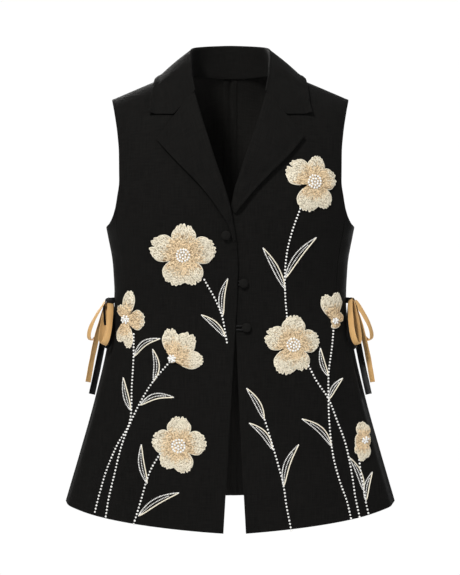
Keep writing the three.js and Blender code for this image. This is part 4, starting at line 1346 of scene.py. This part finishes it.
def petal_stitches(at, petal, order, long, rng):
    """Rows of straw stitches over a petal: for each row the stitches' places, their three axes,
    their shares of tan and their lightness."""
    length = petal[1]
    rows = max(int(length / STITCH_ROW), 3)
    stitches = []
    for row in range(rows):
        t0 = 0.10 + 0.86 * (row + 0.35) / rows
        s, u = petal_place(np.array([t0, t0]), np.array([-1.0, 1.0]), petal, order)
        count = max(int(np.hypot(s[1] - s[0], u[1] - u[0]) / STITCH_APART), 2)
        w0 = (np.arange(count) + 0.5 + 0.5 * (row % 2 - 0.5)) / count * 1.9 - 0.95
        w0 = np.clip(w0 + rng.normal(0, 0.35 / count, count), -0.96, 0.96)
        tt = np.clip(t0 + rng.normal(0, 0.022, count), 0.06, 0.975)
        step = 0.5 * sizes().stitch / MM / length * rng.uniform(0.5, 0.95, count)
        turn = rng.normal(0, 0.9 / count, count)
        inner = at(np.clip(tt - step, 0.02, 1), np.clip(w0 - turn, -0.97, 0.97), 0.42)
        outer = at(np.clip(tt + step, 0, 0.99), np.clip(w0 + turn, -0.97, 0.97), 0.55)
        half = np.linalg.norm(outer - inner, axis=1) / 2
        x_axis = unit(outer - inner)
        out = unit(at(tt, w0, 2.0) - at(tt, w0, 0.0))
        y_axis = unit(np.cross(out, x_axis))
        z_axis = np.cross(x_axis, y_axis)
        thick = rng.uniform(0.8, 1.12, count)
        place = (inner + outer) / 2 + out * rng.uniform(-0.1, 0.35, count)[:, None]
        axes = np.stack([x_axis * half[:, None], y_axis * thick[:, None],
                         z_axis * STITCH_FLAT * thick[:, None]], 1)
        tan = smooth((0.66 - tt * length / long + rng.normal(0, 0.07, count)) / 0.24)
        uneven = rng.normal(0, 1, count) * (0.11 + 0.06 * tan)
        specks = 0.5 * (rng.random(count) < 0.06 + 0.05 * tan)
        light = np.clip(0.9 - 0.05 * tan + uneven, 0.4, 1.0) - specks
        stitches.append((place, axes, tan, light))
    return stitches


def centre_beads(name, lay, ring_radius, rng):
    """Beads in two rings and one in the middle, domed over a flower's centre."""
    ring_count = math.pi * ring_radius / BEAD_APART
    counts = (int(round(2 * ring_count)), int(round(ring_count)), 1)
    spots = []
    for radius, count in zip((ring_radius, ring_radius * 0.52, 0.0), counts):
        turn = 2 * np.pi * (np.arange(count) + 0.3) / count
        spots.append(np.stack([radius * np.cos(turn), radius * np.sin(turn)], -1))
    spots = np.concatenate(spots)
    spots = spots + rng.normal(0, 0.22, spots.shape)
    beads = lay(spots[:, 0], spots[:, 1], 4.0 - 0.008 * np.sum(spots ** 2, axis=1))
    bead_piece(f"centre_{name}", beads, rng.uniform(1.65, 1.95, len(beads)))


def centre_seat(name, lay, ring_radius):
    """The straw cushion under the centre's beads: a low disc whose edge falls away."""
    rows, cols = 7, 28
    turn = circle(cols)
    share = np.linspace(0.05, 1, rows)[:, None]
    across = share * (ring_radius + 1.6) * np.cos(turn)
    up = share * (ring_radius + 1.6) * np.sin(turn)
    top = lay(across, up, np.broadcast_to(2.6 - share ** 4, across.shape))
    base = lay(across, up, np.full(across.shape, 0.2))
    points = np.concatenate([top.reshape(-1, 3), base.reshape(-1, 3),
                             top[:1].mean(axis=1), base[:1].mean(axis=1)])
    k = np.arange(cols)
    k2 = (k + 1) % cols
    count = rows * cols
    last = count - cols
    quads = grid_quads(rows, cols, closed=True)
    rim = np.stack([last + k, last + k2, last + k2 + count, last + k + count], -1)
    hubs = [np.stack([np.full(cols, 2 * count), k2, k], -1),
            np.stack([np.full(cols, 2 * count + 1), k + count, k2 + count], -1)]
    faces = [np.concatenate([quads, quads[:, ::-1] + count, rim]), np.concatenate(hubs)]
    new_piece(f"seat_{name}", (points, faces, None), ("straw",),
              {"tint": np.full(len(points), 0.75), "shade": np.full(len(points), 0.62)})


def flower(name, centre, ring_radius, petals, rng):
    """One flower: its straw petals, their corded rims, and the centre's beads on their seat."""
    lay = flower_sheet(centre)
    long = max(petal[1] for petal in petals)
    grounds, rims, stitches = [], [], []
    for order, petal in enumerate(petals):
        at = petal_surface(lay, petal, order)
        grounds.append(petal_ground(at, petal, order, long))
        rims.append(petal_rim(at))
        stitches += petal_stitches(at, petal, order, long, rng)
    places, axes, tans, lights = (np.concatenate(group) for group in zip(*stitches))
    shape = stitch_shape()
    points, faces = repeated(shape, places, axes)
    parts = [(points, faces, np.zeros((len(points), 2)))]
    tint = [np.repeat(tans, len(shape[0]))]
    shade = [np.repeat(lights, len(shape[0]))]
    # the grounds' low lightness is painted shade between the stitches
    for part, tan, gap in grounds:
        parts.append(part)
        tint.append(tan)
        shade.append(gap)
    new_piece(f"petals_{name}", joined(parts), ("straw",),
              {"tint": np.concatenate(tint), "shade": np.concatenate(shade)})
    new_piece(f"rims_{name}", joined(rims), ("cream_cord",))
    centre_beads(name, lay, ring_radius, rng)
    centre_seat(name, lay, ring_radius)


def bead_piece(name, places, radius):
    """Beads at their places as one piece."""
    size = np.asarray(radius)[:, None, None] * np.eye(3)[None]
    new_piece(name, (*repeated(bead_shape(), places, size), None), ("pearl",))


def stem(name, points, rng):
    """A row of beads at one pitch along a stem, each seated on the cloth."""
    size = sizes()
    flat = line_through(points, np.linspace(0, 1, 160))
    line, _ = on_front(flat[:, 0], flat[:, 1], size.bead / MM * 0.4, size.softness)
    beads = even_line(line, size.pitch / MM)
    bead_piece(f"stem_{name}", beads, size.bead / MM / 2 * rng.uniform(0.93, 1.06, len(beads)))


def leaves(rng):
    """Each leaf as lines from base to tip, bowed to one side: the two outer ones swell by a
    sine, one of them beaded, and a beaded vein runs inside them."""
    cords, beads, radii = [], [], []
    soft = sizes().softness
    for base, tip, bow_out in LEAVES:
        base = np.array(base, float)
        tip = np.array(tip, float)
        way = tip - base
        long = np.linalg.norm(way)
        way = way / long
        left = np.array([-way[1], way[0]])
        t = np.linspace(0, 1, 60)
        swell = np.sin(np.pi * t ** 0.85) ** 0.8
        wide = 2.9 + 0.022 * long
        for share, stop, beaded in ((-1.0, 1.0, False), (-0.05, 0.78, True), (1.0, 1.0, True)):
            tt = t * stop
            off = bow_out * np.sin(np.pi * tt) + share * wide * np.interp(tt, t, swell)
            flat = base + way * (long * tt)[:, None] + left * off[:, None]
            line, _ = on_front(flat[:, 0], flat[:, 1], 0.75, soft)
            if beaded:
                beads.append(even_line(line, LEAF_BEAD_APART))
                radii.append(rng.uniform(0.92, 1.12, len(beads[-1])) - 0.12 * (stop < 1))
            else:
                cords.append(tube(even_line(line, 1.6), LEAF_CORD, 8, FORWARD))
    new_piece("leaf_cords", joined(cords), ("cream_cord",))
    bead_piece("leaf_beads", np.concatenate(beads), np.concatenate(radii))


# ---- stage ---------------------------------------------------------------------------------
def area_light(name, place, target, size, power, colour):
    """A soft square light that looks at a point."""
    data = bpy.data.lights.new(name, "AREA")
    data.shape = "SQUARE"
    data.size = size
    data.energy = power
    data.color = colour
    lamp = bpy.data.objects.new(name, data)
    lamp.location = place
    way = np.array(target) - np.array(place)
    flat = math.hypot(way[0], way[1])
    lamp.rotation_euler = (math.atan2(flat, -way[2]), 0, math.atan2(-way[0], way[1]))
    bpy.context.collection.objects.link(lamp)


def pale_floor():
    """A round pale floor under the hanging piece."""
    low = CAD_BOX[0][2] - FLOOR_DROP
    rings, sides = 12, 72
    radius = np.linspace(0, FLOOR_RADIUS, rings + 1)[1:]
    turn = circle(sides)
    points = np.stack([radius[:, None] * np.cos(turn), radius[:, None] * np.sin(turn),
                       np.full((rings, sides), low)], -1).reshape(-1, 3)
    points = np.concatenate([points, [[0, 0, low]]])
    k = np.arange(sides)
    hub = np.stack([np.full(sides, rings * sides), k, (k + 1) % sides], -1)
    mesh = bpy.data.meshes.new("floor")
    faces = grid_quads(rings, sides, closed=True)[:, ::-1].tolist() + hub.tolist()
    mesh.from_pydata(points.tolist(), [], faces)
    f = Finish("pale_floor", {"Specular IOR Level": 0.1})
    place = f.node("ShaderNodeTexCoord", {}, {}, output=3)
    cloud = f.noise(place, (3.0, 3.0, 3.0))
    shade = f.between(cloud, (0.86, 0.86, 0.86, 1), (0.9, 0.9, 0.9, 1))
    mesh.materials.append(f.out(shade, cloud * 0.1 + 0.8))
    floor = bpy.data.objects.new("floor", mesh)
    bpy.context.collection.objects.link(floor)


def white_surround():
    """Even white all round, seen at full strength and lighting the piece at less."""
    world = bpy.data.worlds.new("white_surround")
    bpy.context.scene.world = world
    world.use_nodes = True
    tree = world.node_tree
    ground = tree.nodes["Background"]
    ground.inputs["Color"].default_value = (1, 1, 1, 1)
    seen = tree.nodes.new("ShaderNodeLightPath")
    strength = tree.nodes.new("ShaderNodeMapRange")
    strength.inputs["To Min"].default_value = WHITE_LIGHT
    strength.inputs["To Max"].default_value = WHITE_SEEN
    tree.links.new(seen.outputs["Is Camera Ray"], strength.inputs["Value"])
    tree.links.new(strength.outputs["Result"], ground.inputs["Strength"])


def camera():
    """A long lens square to the front, at the height of the waist's upper side."""
    data = bpy.data.cameras.new("camera")
    data.lens = CAMERA_LENS
    data.sensor_width = CAMERA_SENSOR
    eye = bpy.data.objects.new("camera", data)
    eye.location = CAMERA_PLACE
    eye.rotation_euler = (math.pi / 2, 0, 0)
    bpy.context.collection.objects.link(eye)
    bpy.context.scene.camera = eye


# ---- operators and panel -------------------------------------------------------------------
class WAISTCOAT_OT_stage(bpy.types.Operator):
    """Pale floor, white surround, soft lights and the camera"""

    bl_idname = "waistcoat.stage"
    bl_label = "Stage"

    def execute(self, context):
        context.scene.view_settings.view_transform = "Standard"
        camera()
        white_surround()
        pale_floor()
        for light in LIGHTS:
            area_light(*light)
        return {"FINISHED"}


class WAISTCOAT_OT_fronts(bpy.types.Operator):
    """Both fronts, the left one tucked under the right"""

    bl_idname = "waistcoat.fronts"
    bl_label = "Fronts"

    def execute(self, context):
        for name, side, edge, tucked in (("front_right", -1, RIGHT_EDGE, False),
                                         ("front_left", 1, LEFT_EDGE, True)):
            cloth_panel(name, side, front_near(edge), FRONT_SIDE,
                        HEM_FRONT, HEM_RISE_FRONT, tucked, FRONT_DART)
        return {"FINISHED"}


class WAISTCOAT_OT_backs(bpy.types.Operator):
    """Both halves of the back, joined at the centre seam"""

    bl_idname = "waistcoat.backs"
    bl_label = "Backs"

    def execute(self, context):
        for name, side in (("back_right", -1), ("back_left", 1)):
            near = (lambda level, side=side: side * (180 - angle_of(back_neck(level), level)))
            cloth_panel(name, side, near, BACK_SIDE, HEM_BACK, HEM_RISE_BACK, False, BACK_DART)
        allowances()
        return {"FINISHED"}


class WAISTCOAT_OT_collar(bpy.types.Operator):
    """Both lapels and the collar with its stand"""

    bl_idname = "waistcoat.collar"
    bl_label = "Lapels and collar"

    def execute(self, context):
        lapel("lapel_right", -1, RIGHT_LAPEL)
        lapel("lapel_left", 1, LEFT_LAPEL)
        collar()
        return {"FINISHED"}


class WAISTCOAT_OT_buttons(bpy.types.Operator):
    """Three covered buttons and the two cord loops"""

    bl_idname = "waistcoat.buttons"
    bl_label = "Buttons"

    def execute(self, context):
        for name in ("button_upper", "button_middle", "button_lower"):
            covered_button(name)
        for name in ("button_middle_loop", "button_lower_loop"):
            button_loop(name)
        return {"FINISHED"}


class WAISTCOAT_OT_bows(bpy.types.Operator):
    """The ribbon bow at the top of each side slit"""

    bl_idname = "waistcoat.bows"
    bl_label = "Bows"

    def execute(self, context):
        for side in (-1, 1):
            bow(side)
        return {"FINISHED"}


class WAISTCOAT_OT_flowers(bpy.types.Operator):
    """The straw flowers with their corded rims and bead centres"""

    bl_idname = "waistcoat.flowers"
    bl_label = "Flowers"

    def execute(self, context):
        for count, (name, (centre, ring_radius, petals)) in enumerate(FLOWERS.items()):
            rng = np.random.default_rng(context.scene.waistcoat_sizes.seed + count)
            flower(name, centre, ring_radius, petals, rng)
        return {"FINISHED"}


class WAISTCOAT_OT_stems(bpy.types.Operator):
    """The beaded stems and the leaves on them"""

    bl_idname = "waistcoat.stems"
    bl_label = "Stems and leaves"

    def execute(self, context):
        rng = np.random.default_rng(context.scene.waistcoat_sizes.seed + 100)
        for name, points in STEMS.items():
            stem(name, points, rng)
        leaves(rng)
        return {"FINISHED"}


STEPS = (WAISTCOAT_OT_stage, WAISTCOAT_OT_fronts, WAISTCOAT_OT_backs, WAISTCOAT_OT_collar,
         WAISTCOAT_OT_buttons, WAISTCOAT_OT_bows, WAISTCOAT_OT_flowers, WAISTCOAT_OT_stems)


class WAISTCOAT_PT_panel(bpy.types.Panel):
    """Sizes, colours and the steps in order"""

    bl_label = "Waistcoat"
    bl_space_type = "VIEW_3D"
    bl_region_type = "UI"
    bl_category = "Waistcoat"

    def draw(self, context):
        for group in (context.scene.waistcoat_sizes, context.scene.waistcoat_colours):
            for key in group.__annotations__:
                self.layout.prop(group, key)
        for step in STEPS:
            self.layout.operator(step.bl_idname)


CLASSES = (WaistcoatSizes, WaistcoatColours, *STEPS, WAISTCOAT_PT_panel)


def register():
    for each in CLASSES:
        bpy.utils.register_class(each)
    bpy.types.Scene.waistcoat_sizes = PointerProperty(type=WaistcoatSizes)
    bpy.types.Scene.waistcoat_colours = PointerProperty(type=WaistcoatColours)


def unregister():
    del bpy.types.Scene.waistcoat_colours
    del bpy.types.Scene.waistcoat_sizes
    for each in reversed(CLASSES):
        bpy.utils.unregister_class(each)


def main():
    register()
    for step in STEPS:
        group, call = step.bl_idname.split(".")
        getattr(getattr(bpy.ops, group), call)()


if __name__ == "__main__":
    main()
